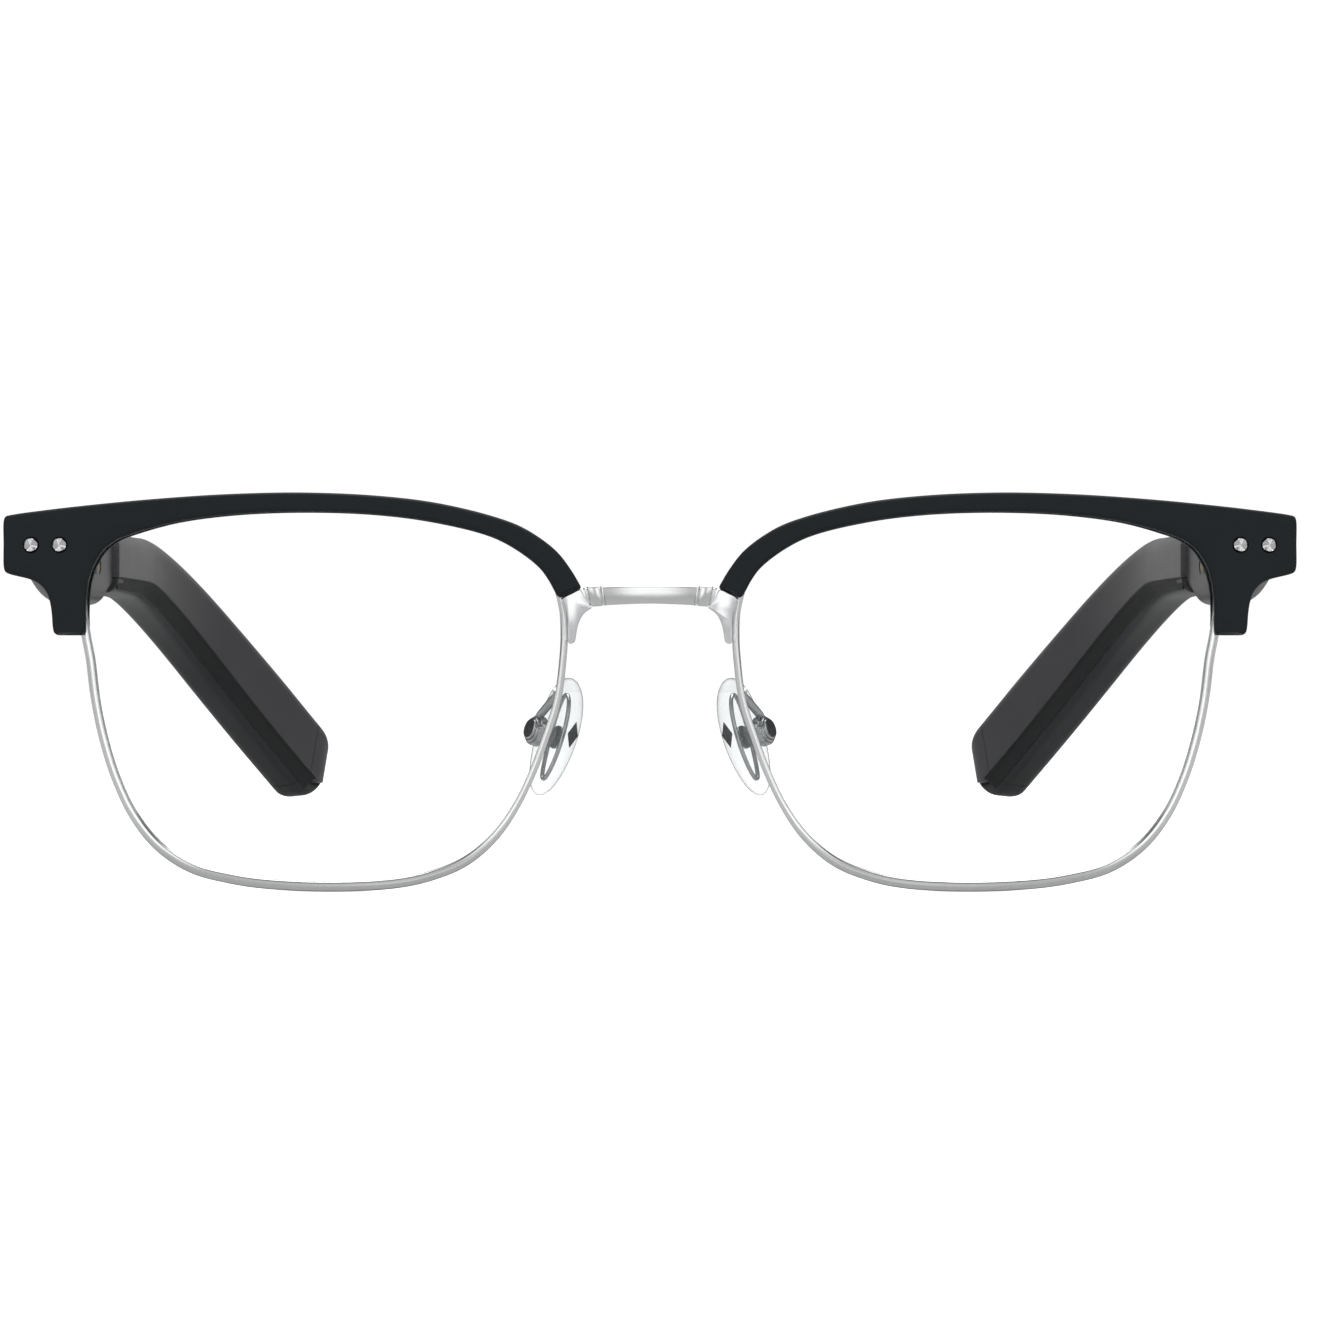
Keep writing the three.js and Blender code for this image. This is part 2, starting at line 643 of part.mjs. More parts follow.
// ---------- temple: front housing ----------
const podFront = seatY + gap;
const podRear = podFront + podLength;
const podBottomAt = (y) => {
  const front = smooth(y, podFront, podFront + 20);
  const rear = smooth(y, podRear - 9, podRear);
  return lerp(lerp(podBottomFront, podBottom, front), podBottomRear, rear);
};
const podTopAt = (y) => lerp(podTop, podTop - podRearDrop, smooth(y, podFront, podRear));
const splitX = podInnerX + coverDepth;

// Trays face each other across the split: side is 1 for the shell and -1 for the cover.
function podTray(stations, side) {
  const depth = side > 0 ? podWidth - coverDepth : coverDepth - gap;
  const mouth = side > 0 ? splitX : splitX - gap;
  const lowCorner = side > 0 ? podLowCorner : podCorner;
  return loft(stations.map((y) => {
    const top = podTopAt(y);
    const bottom = podBottomAt(y);
    return tray(top - bottom, depth, podCorner, lowCorner).map(([p, q]) => (
      new THREE.Vector3(mouth - side * q, y, (top + bottom) / 2 + p)
    ));
  }));
}

const podStations = [0, 0.12, 0.24, 0.36, 0.5, 0.72, 0.8, 0.88, 0.94, 1];
const stationsFrom = (start) => podStations.map((share) => lerp(start, podRear, share));
const notchRear = hingeY + 2.2;
const notch = block(podInnerX - 2, hingeX + barrelRadius + 0.5, podFront - 2, notchRear, 30, 45);
const speakerLength = 6.5;
const speakerY = podRear - 3 - speakerLength;
const grilleY = speakerY + 1.5;
const grilleHalf = 3;
const grilleX = splitX + 1.5;
const grilleSlot = block(
  grilleX - 0.9 - gap, grilleX + 0.9 + gap, grilleY - grilleHalf - gap, grilleY + grilleHalf + gap,
  podBottom - 2, podBottom + wall + 1,
);
const micY = grilleY - 9;
const micHole = rod(0.4, new THREE.Vector3(grilleX, micY, podBottom - 3), upZ, 6, 10);
addPair('temple_shell', cut(podTray(stationsFrom(podFront), 1), notch, grilleSlot, micHole), 'temple');

const contactY = [micY, micY + 4];
const contactZ = 37.2;
const contactRadius = 1.1;
const inwardX = new THREE.Vector3(1, 0, 0);
const contactHoles = contactY.map((y) => rod(
  contactRadius + gap, new THREE.Vector3(podInnerX - 2, y, contactZ), inwardX, 5, 16,
));
const coverScrewHole = turned(
  [[0, 0], [0.85 + gap, 0], [0.85 + gap, 2.8], [0.75, 2.8], [0.75, 6], [0, 6]],
  new THREE.Vector3(podInnerX - 2, screwY, screwZ), inwardX, 12,
);
addPair('temple_cover', cut(
  podTray(stationsFrom(notchRear + gap), -1), coverScrewHole, ...contactHoles,
), 'temple');
['front', 'rear'].forEach((which, i) => addPair(`charging_contact_${which}`, rod(
  contactRadius, new THREE.Vector3(podInnerX + 0.1, contactY[i], contactZ), inwardX, 1.6, 16,
), 'contact'));

// ---------- temple: what the front housing holds ----------
const cavityOuter = podInnerX + podWidth - wall;
addPair('touch_flex', block(
  cavityOuter - gap - 0.3, cavityOuter - gap, podFront + 10, speakerY - 0.5, 36.6, 39.8,
), 'board');
addPair('circuit_board', block(
  cavityOuter - 2 * gap - 1.1, cavityOuter - 2 * gap - 0.3, podFront + 12, speakerY - 2.5, 35.6, 39.8,
), 'board');
const micFloor = podBottomAt(micY - 1.5) + wall + gap;
addPair('microphone', block(
  grilleX - 1.5, grilleX + 0.3, micY - 1.5, micY + 1.5, micFloor, micFloor + 0.9,
), 'speaker');
addPair('speaker', block(
  splitX - 0.4, cavityOuter - gap - 0.2, speakerY, speakerY + speakerLength, 36.2, 39.8,
), 'speaker');

const grilleShape = new THREE.Shape([
  [grilleX - 0.9, -grilleHalf], [grilleX + 0.9, -grilleHalf],
  [grilleX + 0.9, grilleHalf], [grilleX - 0.9, grilleHalf],
].map(([x, y]) => new THREE.Vector2(x, grilleY + y)));
for (let i = 0; i < 5; i++) {
  const y = grilleY + (i - 2) * 1.1;
  grilleShape.holes.push(new THREE.Path([
    [grilleX - 0.55, y - 0.25], [grilleX + 0.55, y - 0.25],
    [grilleX + 0.55, y + 0.25], [grilleX - 0.55, y + 0.25],
  ].map(([px, py]) => new THREE.Vector2(px, py))));
}
const grillePlate = new THREE.ExtrudeGeometry(grilleShape, { depth: 0.6, bevelEnabled: false });
addPair('speaker_grille', weld(
  grillePlate.translate(0, 0, podBottomAt(grilleY) + 0.25),
), 'steel');

// ---------- temple: ear piece ----------
const armStart = podRear + gap;
const armX = podInnerX + armWidth / 2 - armInset;
const dropDirection = new THREE.Vector3(
  -Math.sin(radians(inwardAngle)) * Math.cos(radians(dropAngle)),
  Math.cos(radians(inwardAngle)) * Math.cos(radians(dropAngle)),
  -Math.sin(radians(dropAngle)),
);
const bendAngle = Math.acos(dropDirection.y);
const sideways = new THREE.Vector3(dropDirection.x, 0, dropDirection.z).normalize();
const bendAxis = new THREE.Vector3(0, 1, 0).cross(sideways);
const bendLength = bendRadius * bendAngle;
const straightLength = bendStart - armStart;
const bendEnd = bendStart + bendRadius * Math.sin(bendAngle);
const tipLength = (tipReach - bendEnd) / dropDirection.y;
const earLength = straightLength + bendLength + tipLength;

// Place and directions at a distance along the ear piece's centre line.
function earFrame(distance) {
  const turn = THREE.MathUtils.clamp((distance - straightLength) / bendRadius, 0, bendAngle);
  const centre = new THREE.Vector3(armX, armStart + Math.min(distance, straightLength), armHeightZ);
  centre.addScaledVector(sideways, bendRadius * (1 - Math.cos(turn)));
  centre.y += bendRadius * Math.sin(turn);
  centre.addScaledVector(dropDirection, Math.max(0, distance - straightLength - bendLength));
  const along = new THREE.Vector3(0, 1, 0).applyAxisAngle(bendAxis, turn);
  const inward = new THREE.Vector3(-1, 0, 0).applyAxisAngle(bendAxis, turn);
  const up = new THREE.Vector3(0, 0, 1).applyAxisAngle(bendAxis, turn);
  return { centre, along, inward, up };
}

const growth = (distance) => smooth(distance, straightLength - 10, earLength - 12);
const widthAt = (distance) => lerp(armWidth, tipWidth, growth(distance));
const heightAt = (distance) => lerp(armHeight, tipHeight, growth(distance));

// side is 1 for the upper shell and -1 for the lower tray.
function earTray(distances, side) {
  return loft(distances.map((distance) => {
    const { centre, inward, up } = earFrame(distance);
    const height = heightAt(distance);
    const split = -height / 2 + lowerTrayDepth;
    const depth = side > 0 ? height - lowerTrayDepth : lowerTrayDepth - gap;
    const mouth = side > 0 ? split : split - gap;
    const corner = side > 0 ? armTopCorner : armLowCorner;
    return tray(widthAt(distance), depth, corner).map(([p, q]) => centre.clone()
      .addScaledVector(inward, p)
      .addScaledVector(up, mouth - side * q));
  }));
}

const shellEnd = earLength - endCapLength;
const earStations = [0, straightLength * 0.5, straightLength - 2];
for (let i = 1; i <= 6; i++) {
  earStations.push(straightLength - 2 + ((bendLength + 4) * i) / 6);
}
earStations.push(lerp(straightLength + bendLength + 2, shellEnd, 0.5), shellEnd);
addPair('ear_piece_shell', earTray(earStations, 1), 'temple');
addPair('ear_piece_cover', earTray(earStations, -1), 'temple');

// Rounded plug that closes the ear piece's end.
function endCap() {
  const insets = [
    [shellEnd + gap, 0], [earLength - 1.33 * endRounding, 0],
    [earLength - 0.67 * endRounding, 0.18 * endRounding],
    [earLength - 0.2 * endRounding, 0.58 * endRounding], [earLength, endRounding],
  ];
  return loft(insets.map(([distance, inset]) => {
    const { centre, inward, up } = earFrame(distance);
    const halfWidth = widthAt(distance) / 2 - inset;
    const halfHeight = heightAt(distance) / 2 - inset;
    return Array.from({ length: 20 }, (_, i) => {
      const quarter = Math.floor(i / 5);
      const radius = Math.min(quarter < 2 ? armTopCorner : armLowCorner, halfWidth);
      const angle = quarter * (Math.PI / 2) + ((i % 5) / 4) * (Math.PI / 2);
      const cornerX = (quarter === 0 || quarter === 3 ? 1 : -1) * (halfWidth - radius);
      const cornerZ = (quarter < 2 ? 1 : -1) * (halfHeight - radius);
      return centre.clone()
        .addScaledVector(inward, cornerX + Math.cos(angle) * radius)
        .addScaledVector(up, cornerZ + Math.sin(angle) * radius);
    });
  }));
}
addPair('ear_piece_end_cap', endCap(), 'temple');

const batteryFrame = earFrame(shellEnd - 2 - batteryLength);
addPair('battery', rod(
  batteryRadius, batteryFrame.centre, batteryFrame.along, batteryLength, 16,
), 'battery');

// ---------- origin at the middle of the base ----------
model.updateMatrixWorld(true);
const box = new THREE.Box3().setFromObject(model);
model.position.set(-(box.min.x + box.max.x) / 2, -(box.min.y + box.max.y) / 2, -box.min.z);

export default model;
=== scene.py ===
import math

import bmesh
import bpy
import numpy as np
from mathutils import Matrix, Vector


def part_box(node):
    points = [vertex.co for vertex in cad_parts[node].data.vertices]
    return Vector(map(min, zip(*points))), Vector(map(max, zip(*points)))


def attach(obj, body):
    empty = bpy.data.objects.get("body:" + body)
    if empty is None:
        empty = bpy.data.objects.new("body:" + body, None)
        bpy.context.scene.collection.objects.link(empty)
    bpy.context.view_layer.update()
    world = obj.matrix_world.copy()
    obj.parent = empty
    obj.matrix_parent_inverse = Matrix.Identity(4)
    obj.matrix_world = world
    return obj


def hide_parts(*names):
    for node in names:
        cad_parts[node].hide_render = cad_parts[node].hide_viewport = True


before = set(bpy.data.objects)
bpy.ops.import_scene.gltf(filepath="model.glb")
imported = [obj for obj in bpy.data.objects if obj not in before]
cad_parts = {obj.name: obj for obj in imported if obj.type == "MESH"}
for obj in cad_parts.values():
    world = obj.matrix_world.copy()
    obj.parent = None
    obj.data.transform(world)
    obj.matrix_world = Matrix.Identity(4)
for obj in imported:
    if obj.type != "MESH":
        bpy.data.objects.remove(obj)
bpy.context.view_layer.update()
print("packed frame loaded")

# The glasses' own millimetres: x to the wearer's left, y back from the front, z up from the rims
front = {"wrapRadius": 420.0, "hingeX": 66.9, "hingeY": 12.9, "pinFoot": 36.7}
pinLow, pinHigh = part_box("hinge_pin_right")
toRow = np.array([
    (pinLow.x + pinHigh.x) * 500 - front["hingeX"],
    (pinLow.y + pinHigh.y) * 500 - front["hingeY"],
    pinLow.z * 1000 - front["pinFoot"],
])
scene = bpy.context.scene


class Wire:  # a socket, so that shader maths reads as plain expressions
    def __init__(self, recipe, socket):
        self.recipe = recipe
        self.socket = socket

    def math(self, operation, *values):
        return self.recipe.node("ShaderNodeMath", {"operation": operation}, values)

    def __add__(self, other):
        return self.math("ADD", self, other)

    def __sub__(self, other):
        return self.math("SUBTRACT", self, other)

    def __rsub__(self, other):
        return self.math("SUBTRACT", other, self)

    def __mul__(self, other):
        return self.math("MULTIPLY", self, other)

    def __truediv__(self, other):
        return self.math("DIVIDE", self, other)

    def __rtruediv__(self, other):
        return self.math("DIVIDE", other, self)

    __radd__ = __add__
    __rmul__ = __mul__


class Recipe:  # a node tree that is filled node by node
    def __init__(self, tree):
        self.tree = tree
        tree.nodes.clear()

    def node(self, kind, settings=None, values=(), output=0):
        made = self.tree.nodes.new(kind)
        for key, value in (settings or {}).items():
            if key == "stops":
                ramp = made.color_ramp
                while len(ramp.elements) < len(value):
                    ramp.elements.new(0.5)
                for element, (position, colour) in zip(ramp.elements, value):
                    element.position = position
                    element.color = colour if hasattr(colour, "__len__") else (colour,) * 3 + (1,)
            else:
                setattr(made, key, value)
        pairs = values.items() if isinstance(values, dict) else enumerate(values)
        for key, value in pairs:
            if isinstance(value, Wire):
                self.tree.links.new(value.socket, made.inputs[key])
            elif value is not None:
                made.inputs[key].default_value = value
        return Wire(self, made.outputs[output]) if len(made.outputs) else None

    def step(self, value, low, high):  # 0 below low, 1 above high, smooth between
        return self.node("ShaderNodeMapRange", {"interpolation_type": "SMOOTHSTEP"},
                         [value, low, high, 0.0, 1.0])

    def tint(self, factor, first, second):
        return self.node("ShaderNodeMix", {"data_type": "RGBA"},
                         {0: factor, 6: first, 7: second}, output=2)

    def scaled(self, vector, amounts):
        return self.node("ShaderNodeVectorMath", {"operation": "MULTIPLY"}, [vector, amounts])

    def axis(self, vector, index):
        return self.node("ShaderNodeSeparateXYZ", None, [vector], output=index)

    def noise(self, vector, scale, detail=2.0, rough=0.5):
        return self.node("ShaderNodeTexNoise", None, {
            "Vector": vector, "Scale": scale, "Detail": detail, "Roughness": rough})

    def place(self):
        return self.node("ShaderNodeTexCoord", output=3)

    def flow(self):  # millimetres along and around a lofted piece
        return self.node("ShaderNodeAttribute", {"attribute_name": "flow"}, output=1)

    def bump(self, height, strength, distance):
        return self.node("ShaderNodeBump", None, {
            "Height": height, "Strength": strength, "Distance": distance})

    def plain(self, values):
        return self.node("ShaderNodeBsdfPrincipled", None, values)

    def end(self, shader):
        self.node("ShaderNodeOutputMaterial", None, [shader])


def newFinish(name):
    material = bpy.data.materials.new(name)
    material.use_nodes = True
    return material, Recipe(material.node_tree)


def colour(red, green, blue):
    return (red, green, blue, 1.0)


# Finishes: colours are linear and noise scales are per metre
def makeBrowFinish():
    look = {"deep": colour(0.0105, 0.0142, 0.0165), "worn": colour(0.0175, 0.0225, 0.0255),
            "rough": 0.36, "grain": 0.09}
    material, recipe = newFinish("satin_black_acetate")
    place = recipe.place()
    cloud = recipe.noise(place, 160.0, 4.0)
    grain = recipe.noise(place, 5200.0, 2.0)
    haze = recipe.noise(recipe.scaled(place, (220.0, 900.0, 900.0)), 1.0, 3.0)
    recipe.end(recipe.plain({
        "Base Color": recipe.tint(cloud * 0.6 + haze * 0.4, look["deep"], look["worn"]),
        "Roughness": look["rough"] + cloud * 0.10 + haze * 0.05,
        "Specular IOR Level": 0.2,
        "Normal": recipe.bump(grain, look["grain"], 0.00003),
    }))
    return material


def makeTempleFinish(name, deep, pale, rough):
    material, recipe = newFinish(name)
    place = recipe.place()
    cloud = recipe.noise(place, 110.0, 4.0)
    grain = recipe.noise(place, 4200.0, 3.0)
    smear = recipe.noise(recipe.scaled(recipe.flow(), (0.05, 1.6, 0.0)), 1.0, 3.0)
    recipe.end(recipe.plain({
        "Base Color": recipe.tint(cloud * 0.6 + smear * 0.4, deep, pale),
        "Roughness": rough + cloud * 0.08 + smear * 0.05,
        "Specular IOR Level": 0.32,
        "Normal": recipe.bump(grain, 0.12, 0.00003),
    }))
    return material


def makeSteel(name, bright, dim, rough, streak, paintedShadeLow=0.0, alongScale=0.06):
    acrossScale = 9.0
    material, recipe = newFinish(name)
    place = recipe.place()
    flow = recipe.flow()
    brush = recipe.noise(recipe.scaled(flow, (alongScale, acrossScale, 0.0)), 1.0, 4.0, 0.65)
    cloud = recipe.noise(place, 240.0, 3.0)
    streaksAndShade = brush * streak + cloud * 0.18
    # painted shade: near the bottom, below about 9 mm up, the steel is pushed towards its dim tone
    if paintedShadeLow:
        height = recipe.axis(place, 2)
        streaksAndShade = streaksAndShade + (1 - recipe.step(height, 0.0015, 0.009)) * paintedShadeLow
    recipe.end(recipe.plain({
        "Base Color": recipe.tint(streaksAndShade, bright, dim),
        "Metallic": 1.0,
        "Roughness": rough + brush * 0.12 + cloud * 0.05,
        "Normal": recipe.bump(brush, 0.10 + streak * 0.15, 0.00002),
    }))
    return material


def makeLensFinish():
    material, recipe = newFinish("clear_lens")
    place = recipe.place()
    film = recipe.noise(place, 60.0, 3.0)
    edge = recipe.node("ShaderNodeLayerWeight", None, {"Blend": 0.2}, output=0)
    clear = recipe.node("ShaderNodeBsdfTransparent", None, [colour(0.995, 1.0, 0.998)])
    gloss = recipe.plain({
        "Base Color": recipe.tint(film, colour(0.80, 0.88, 0.90), colour(0.86, 0.90, 0.93)),
        "Roughness": 0.02 + film * 0.03,
        "Specular IOR Level": 0.5,
    })
    recipe.end(recipe.node("ShaderNodeMixShader", None, [edge * 0.22 + film * 0.006, clear, gloss]))
    return material


def makeSilicone():
    material, recipe = newFinish("clear_silicone")
    place = recipe.place()
    cloud = recipe.noise(place, 420.0, 3.0)
    grain = recipe.noise(place, 3600.0, 2.0)
    # painted shade: where the pad's surface turns away from the view, its base colour goes near
    # black and covers more of the clear part
    edge = recipe.node("ShaderNodeLayerWeight", None, {"Blend": 0.5}, output=1)
    rim = recipe.step(edge, 0.45, 0.95)
    clear = recipe.node("ShaderNodeBsdfTransparent", None, [colour(0.975, 0.985, 0.985)])
    top = recipe.step(recipe.axis(place, 2), 0.0233, 0.0243)
    fleck = recipe.step(recipe.noise(place, 1900.0, 2.0), 0.42, 0.62) * top
    skin = recipe.plain({
        "Base Color": recipe.tint(fleck * 0.8, recipe.tint(
            rim, colour(0.80, 0.83, 0.84), colour(0.055, 0.06, 0.062)), colour(0.05, 0.055, 0.055)),
        "Roughness": 0.08 + cloud * 0.10,
        "Specular IOR Level": 0.5,
        "Normal": recipe.bump(grain, 0.05, 0.00003),
    })
    cover = rim * 0.62 + 0.10 + cloud * 0.06 + fleck * 0.45
    recipe.end(recipe.node("ShaderNodeMixShader", None, [cover, clear, skin]))
    return material


def makeBoardFinish():
    material, recipe = newFinish("green_board")
    place = recipe.place()
    cells = recipe.node("ShaderNodeTexVoronoi", {"distance": "CHEBYCHEV"}, {
        "Vector": recipe.scaled(place, (1.0, 620.0, 620.0)), "Scale": 1.0})
    tracks = recipe.step(recipe.noise(recipe.scaled(place, (1.0, 300.0, 1800.0)), 1.0), 0.52, 0.56)
    solder = 1 - recipe.step(cells, 0.10, 0.16)
    base = recipe.tint(tracks, colour(0.012, 0.075, 0.035), colour(0.03, 0.14, 0.06))
    recipe.end(recipe.plain({
        "Base Color": recipe.tint(solder, base, colour(0.55, 0.54, 0.50)),
        "Metallic": solder * 0.9,
        "Roughness": 0.5 - solder * 0.25,
        "Normal": recipe.bump(tracks + solder, 0.4, 0.00003),
    }))
    return material


def makeFlexFinish():
    material, recipe = newFinish("amber_flex")
    place = recipe.place()
    lines = recipe.node("ShaderNodeTexWave", {"bands_direction": "Z"}, {
        "Vector": place, "Scale": 420.0, "Distortion": 0.4})
    track = recipe.step(lines, 0.6, 0.75)
    recipe.end(recipe.plain({
        "Base Color": recipe.tint(track, colour(0.20, 0.085, 0.02), colour(0.42, 0.22, 0.07)),
        "Roughness": 0.32 + track * 0.12,
        "Normal": recipe.bump(track, 0.3, 0.00002),
    }))
    return material


def makeDarkPart(name, deep, pale, rough, metal, scale):
    material, recipe = newFinish(name)
    place = recipe.place()
    cells = recipe.node("ShaderNodeTexVoronoi", None, {"Vector": place, "Scale": scale})
    cloud = recipe.noise(place, scale * 0.3, 3.0)
    recipe.end(recipe.plain({
        "Base Color": recipe.tint(cloud, deep, pale),
        "Metallic": metal,
        "Roughness": rough + cloud * 0.15,
        "Normal": recipe.bump(cells, 0.25, 0.00004),
    }))
    return material


finishes = {
    "brow": makeBrowFinish(),
    "temple": makeTempleFinish(
        "satin_temple_shell", colour(0.046, 0.043, 0.048), colour(0.072, 0.068, 0.074), 0.27),
    # painted shade: the lower tray is a darker copy of the temple plastic, standing in for the
    # shade on its underside
    "templeShadedLow": makeTempleFinish(
        "dark_temple_tray", colour(0.011, 0.012, 0.0135), colour(0.019, 0.020, 0.022), 0.34),
    # near black: painted shade in the ear pieces' step, and the pad's dark insert
    "insertAndShade": makeTempleFinish(
        "matte_seal", colour(0.006, 0.006, 0.007), colour(0.010, 0.010, 0.011), 0.62),
    # the rim's steel is painted darker towards the bottom of the frame: painted shade
    "rim": makeSteel("rim_steel", colour(0.95, 0.955, 0.96), colour(0.74, 0.745, 0.75),
                     0.08, 0.30, paintedShadeLow=0.7),
    "bridge": makeSteel("brushed_bridge_steel", colour(0.90, 0.905, 0.91),
                        colour(0.62, 0.625, 0.63), 0.07, 0.50),
    "bracket": makeSteel("satin_bracket_steel", colour(0.93, 0.94, 0.95), colour(0.80, 0.81, 0.82),
                         0.12, 0.20),
    "hinge": makeSteel("hinge_steel", colour(0.70, 0.70, 0.71), colour(0.42, 0.42, 0.43),
                       0.22, 0.45, alongScale=0.4),
    "wire": makeSteel("pad_arm_steel", colour(0.66, 0.67, 0.68), colour(0.30, 0.31, 0.32),
                      0.16, 0.40, alongScale=0.3),
    "rivet": makeSteel("spun_rivet_steel", colour(0.80, 0.80, 0.81), colour(0.40, 0.40, 0.41),
                       0.06, 0.35, alongScale=0.5),
    "grille": makeSteel("grille_steel", colour(0.16, 0.16, 0.17), colour(0.07, 0.07, 0.075),
                        0.35, 0.4, alongScale=0.5),
    "contact": makeSteel("gold_contact", colour(0.86, 0.62, 0.26), colour(0.62, 0.42, 0.16),
                         0.18, 0.30, alongScale=0.5),
    "battery": makeSteel("battery_foil", colour(0.55, 0.56, 0.58), colour(0.34, 0.35, 0.37),
                         0.30, 0.40, alongScale=0.5),
    "lens": makeLensFinish(),
    "silicone": makeSilicone(),
    "board": makeBoardFinish(),
    "flex": makeFlexFinish(),
    "speaker": makeDarkPart("speaker_black", colour(0.010, 0.010, 0.011), colour(0.03, 0.03, 0.03),
                            0.55, 0.1, 2600.0),
    # painted shade: near black, for the floor of the recess round each rivet head
    "well": makeDarkPart("rivet_well", colour(0.004, 0.005, 0.006), colour(0.009, 0.010, 0.011),
                         0.6, 0.0, 3000.0),
}
print("finishes made:", len(finishes))


# Every shape is (points, faces, flow), in the glasses' own millimetres
def curveThrough(keys, steps, closed=False):  # a centripetal spline through the keys
    keys = np.asarray(keys, float)
    count = len(keys)
    rows = []
    for i in range(count if closed else count - 1):
        if closed:
            p0, p1, p2, p3 = (keys[(i + k) % count] for k in (-1, 0, 1, 2))
        else:
            p1, p2 = keys[i], keys[i + 1]
            p0 = keys[i - 1] if i else 2 * p1 - p2
            p3 = keys[i + 2] if i + 2 < count else 2 * p2 - p1
        t1 = np.linalg.norm(p1 - p0) ** 0.5
        t2 = t1 + np.linalg.norm(p2 - p1) ** 0.5
        t3 = t2 + np.linalg.norm(p3 - p2) ** 0.5
        for t in t1 + (t2 - t1) * np.arange(steps) / steps:
            a1 = (t1 - t) / t1 * p0 + t / t1 * p1
            a2 = (t2 - t) / (t2 - t1) * p1 + (t - t1) / (t2 - t1) * p2
            a3 = (t3 - t) / (t3 - t2) * p2 + (t - t2) / (t3 - t2) * p3
            b1 = (t2 - t) / t2 * a1 + t / t2 * a2
            b2 = (t3 - t) / (t3 - t1) * a2 + (t - t1) / (t3 - t1) * a3
            rows.append((t2 - t) / (t2 - t1) * b1 + (t - t1) / (t2 - t1) * b2)
    if not closed:
        rows.append(keys[-1])
    return np.array(rows)


def evenly(points, count):  # a closed line, divided into equal steps
    line = np.vstack([points, points[:1]])
    length = np.concatenate([[0], np.cumsum(np.linalg.norm(np.diff(line, axis=0), axis=1))])
    wanted = np.linspace(0, length[-1], count + 1)[:-1]
    return np.column_stack([np.interp(wanted, length, line[:, k]) for k in range(line.shape[1])])


def sideways(points, closed, towards=None):  # unit normals of a flat outline
    if closed:
        run = np.roll(points, -1, 0) - np.roll(points, 1, 0)
    else:
        run = np.gradient(points, axis=0)
    normal = np.column_stack([-run[:, 1], run[:, 0]])
    normal /= np.linalg.norm(normal, axis=1)[:, None]
    if towards is not None:
        flip = np.einsum("ij,ij->i", normal, towards - points) < 0
        normal[flip] *= -1
    return normal


def wrapAt(x):
    return np.asarray(x) ** 2 / (2 * front["wrapRadius"])


def smooth(value, low, high):
    share = np.clip((value - low) / (high - low), 0, 1)
    return share * share * (3 - 2 * share)


def skin(rings, loop=False):  # rings joined in order, closed in a loop or by a face at each end
    rings = np.asarray(rings, float)
    rows, count = rings.shape[:2]
    faces = []
    for r in range(rows if loop else rows - 1):
        this, other = r * count, ((r + 1) % rows) * count
        for i in range(count):
            j = (i + 1) % count
            faces.append((this + i, this + j, other + j, other + i))
    if not loop:
        faces.append(tuple(range(count))[::-1])
        faces.append(tuple((rows - 1) * count + i for i in range(count)))
    centres = rings.mean(1)
    along = np.concatenate([[0], np.cumsum(np.linalg.norm(np.diff(centres, axis=0), axis=1))])
    around = np.linalg.norm(np.diff(rings, axis=1, prepend=rings[:, -1:]), axis=2)
    around[:, 0] = 0
    flow = np.zeros((rows, count, 3))
    flow[:, :, 0] = along[:, None]
    flow[:, :, 1] = np.cumsum(around, 1)
    return rings.reshape(-1, 3), faces, flow.reshape(-1, 3)


def together(*shapes):
    points, faces, flows, start = [], [], [], 0
    for shape in shapes:
        points.append(shape[0])
        flows.append(shape[2])
        faces += [tuple(start + i for i in face) for face in shape[1]]
        start += len(shape[0])
    return np.vstack(points), faces, np.vstack(flows)


def unit(vector):
    vector = np.asarray(vector, float)
    return vector / np.linalg.norm(vector)


def crossways(axis):
    axis = unit(axis)
    helper = np.array([0, 0, 1.0]) if abs(axis[2]) < 0.9 else np.array([1.0, 0, 0])
    first = unit(np.cross(helper, axis))
    return first, np.cross(axis, first)


def turned(profile, origin, axis, segments=48, tube=False, relief=None):
    first, second = crossways(axis)
    angles = np.arange(segments) * 2 * math.pi / segments
    rings = []
    for k, (radius, height) in enumerate(profile):
        lift = relief(k, angles) if relief else 0 * angles
        rings.append([
            np.asarray(origin) + unit(axis) * (height + lift[i])
            + (first * math.cos(a) + second * math.sin(a)) * max(radius, 0.004)
            for i, a in enumerate(angles)])
    return skin(rings, loop=tube)


def softProfile(radius, length, bevel=0.12, hole=0.0):  # a rod, or a tube when it has a hole
    if hole:
        return [(hole, bevel), (hole + bevel, 0), (radius - bevel, 0), (radius, bevel),
                (radius, length - bevel), (radius - bevel, length), (hole + bevel, length),
                (hole, length - bevel)]
    return [(0, 0), (radius - bevel, 0), (radius - bevel * 0.3, bevel * 0.3), (radius, bevel),
            (radius, length - bevel), (radius - bevel * 0.3, length - bevel * 0.3),
            (radius - bevel, length), (0, length)]


def quarterArc(x, y, radius, quarter, steps=4):
    angles = [(quarter + k / steps) * math.pi / 2 for k in range(steps + 1)]
    return [(x + math.cos(a) * radius, y + math.sin(a) * radius) for a in angles]


def roundRect(centre, half, radius):
    points = []
    for quarter, (sx, sz) in enumerate([(1, 1), (-1, 1), (-1, -1), (1, -1)]):
        points += quarterArc(centre[0] + sx * (half[0] - radius),
                             centre[1] + sz * (half[1] - radius), radius, quarter, 5)
    return np.array(points)


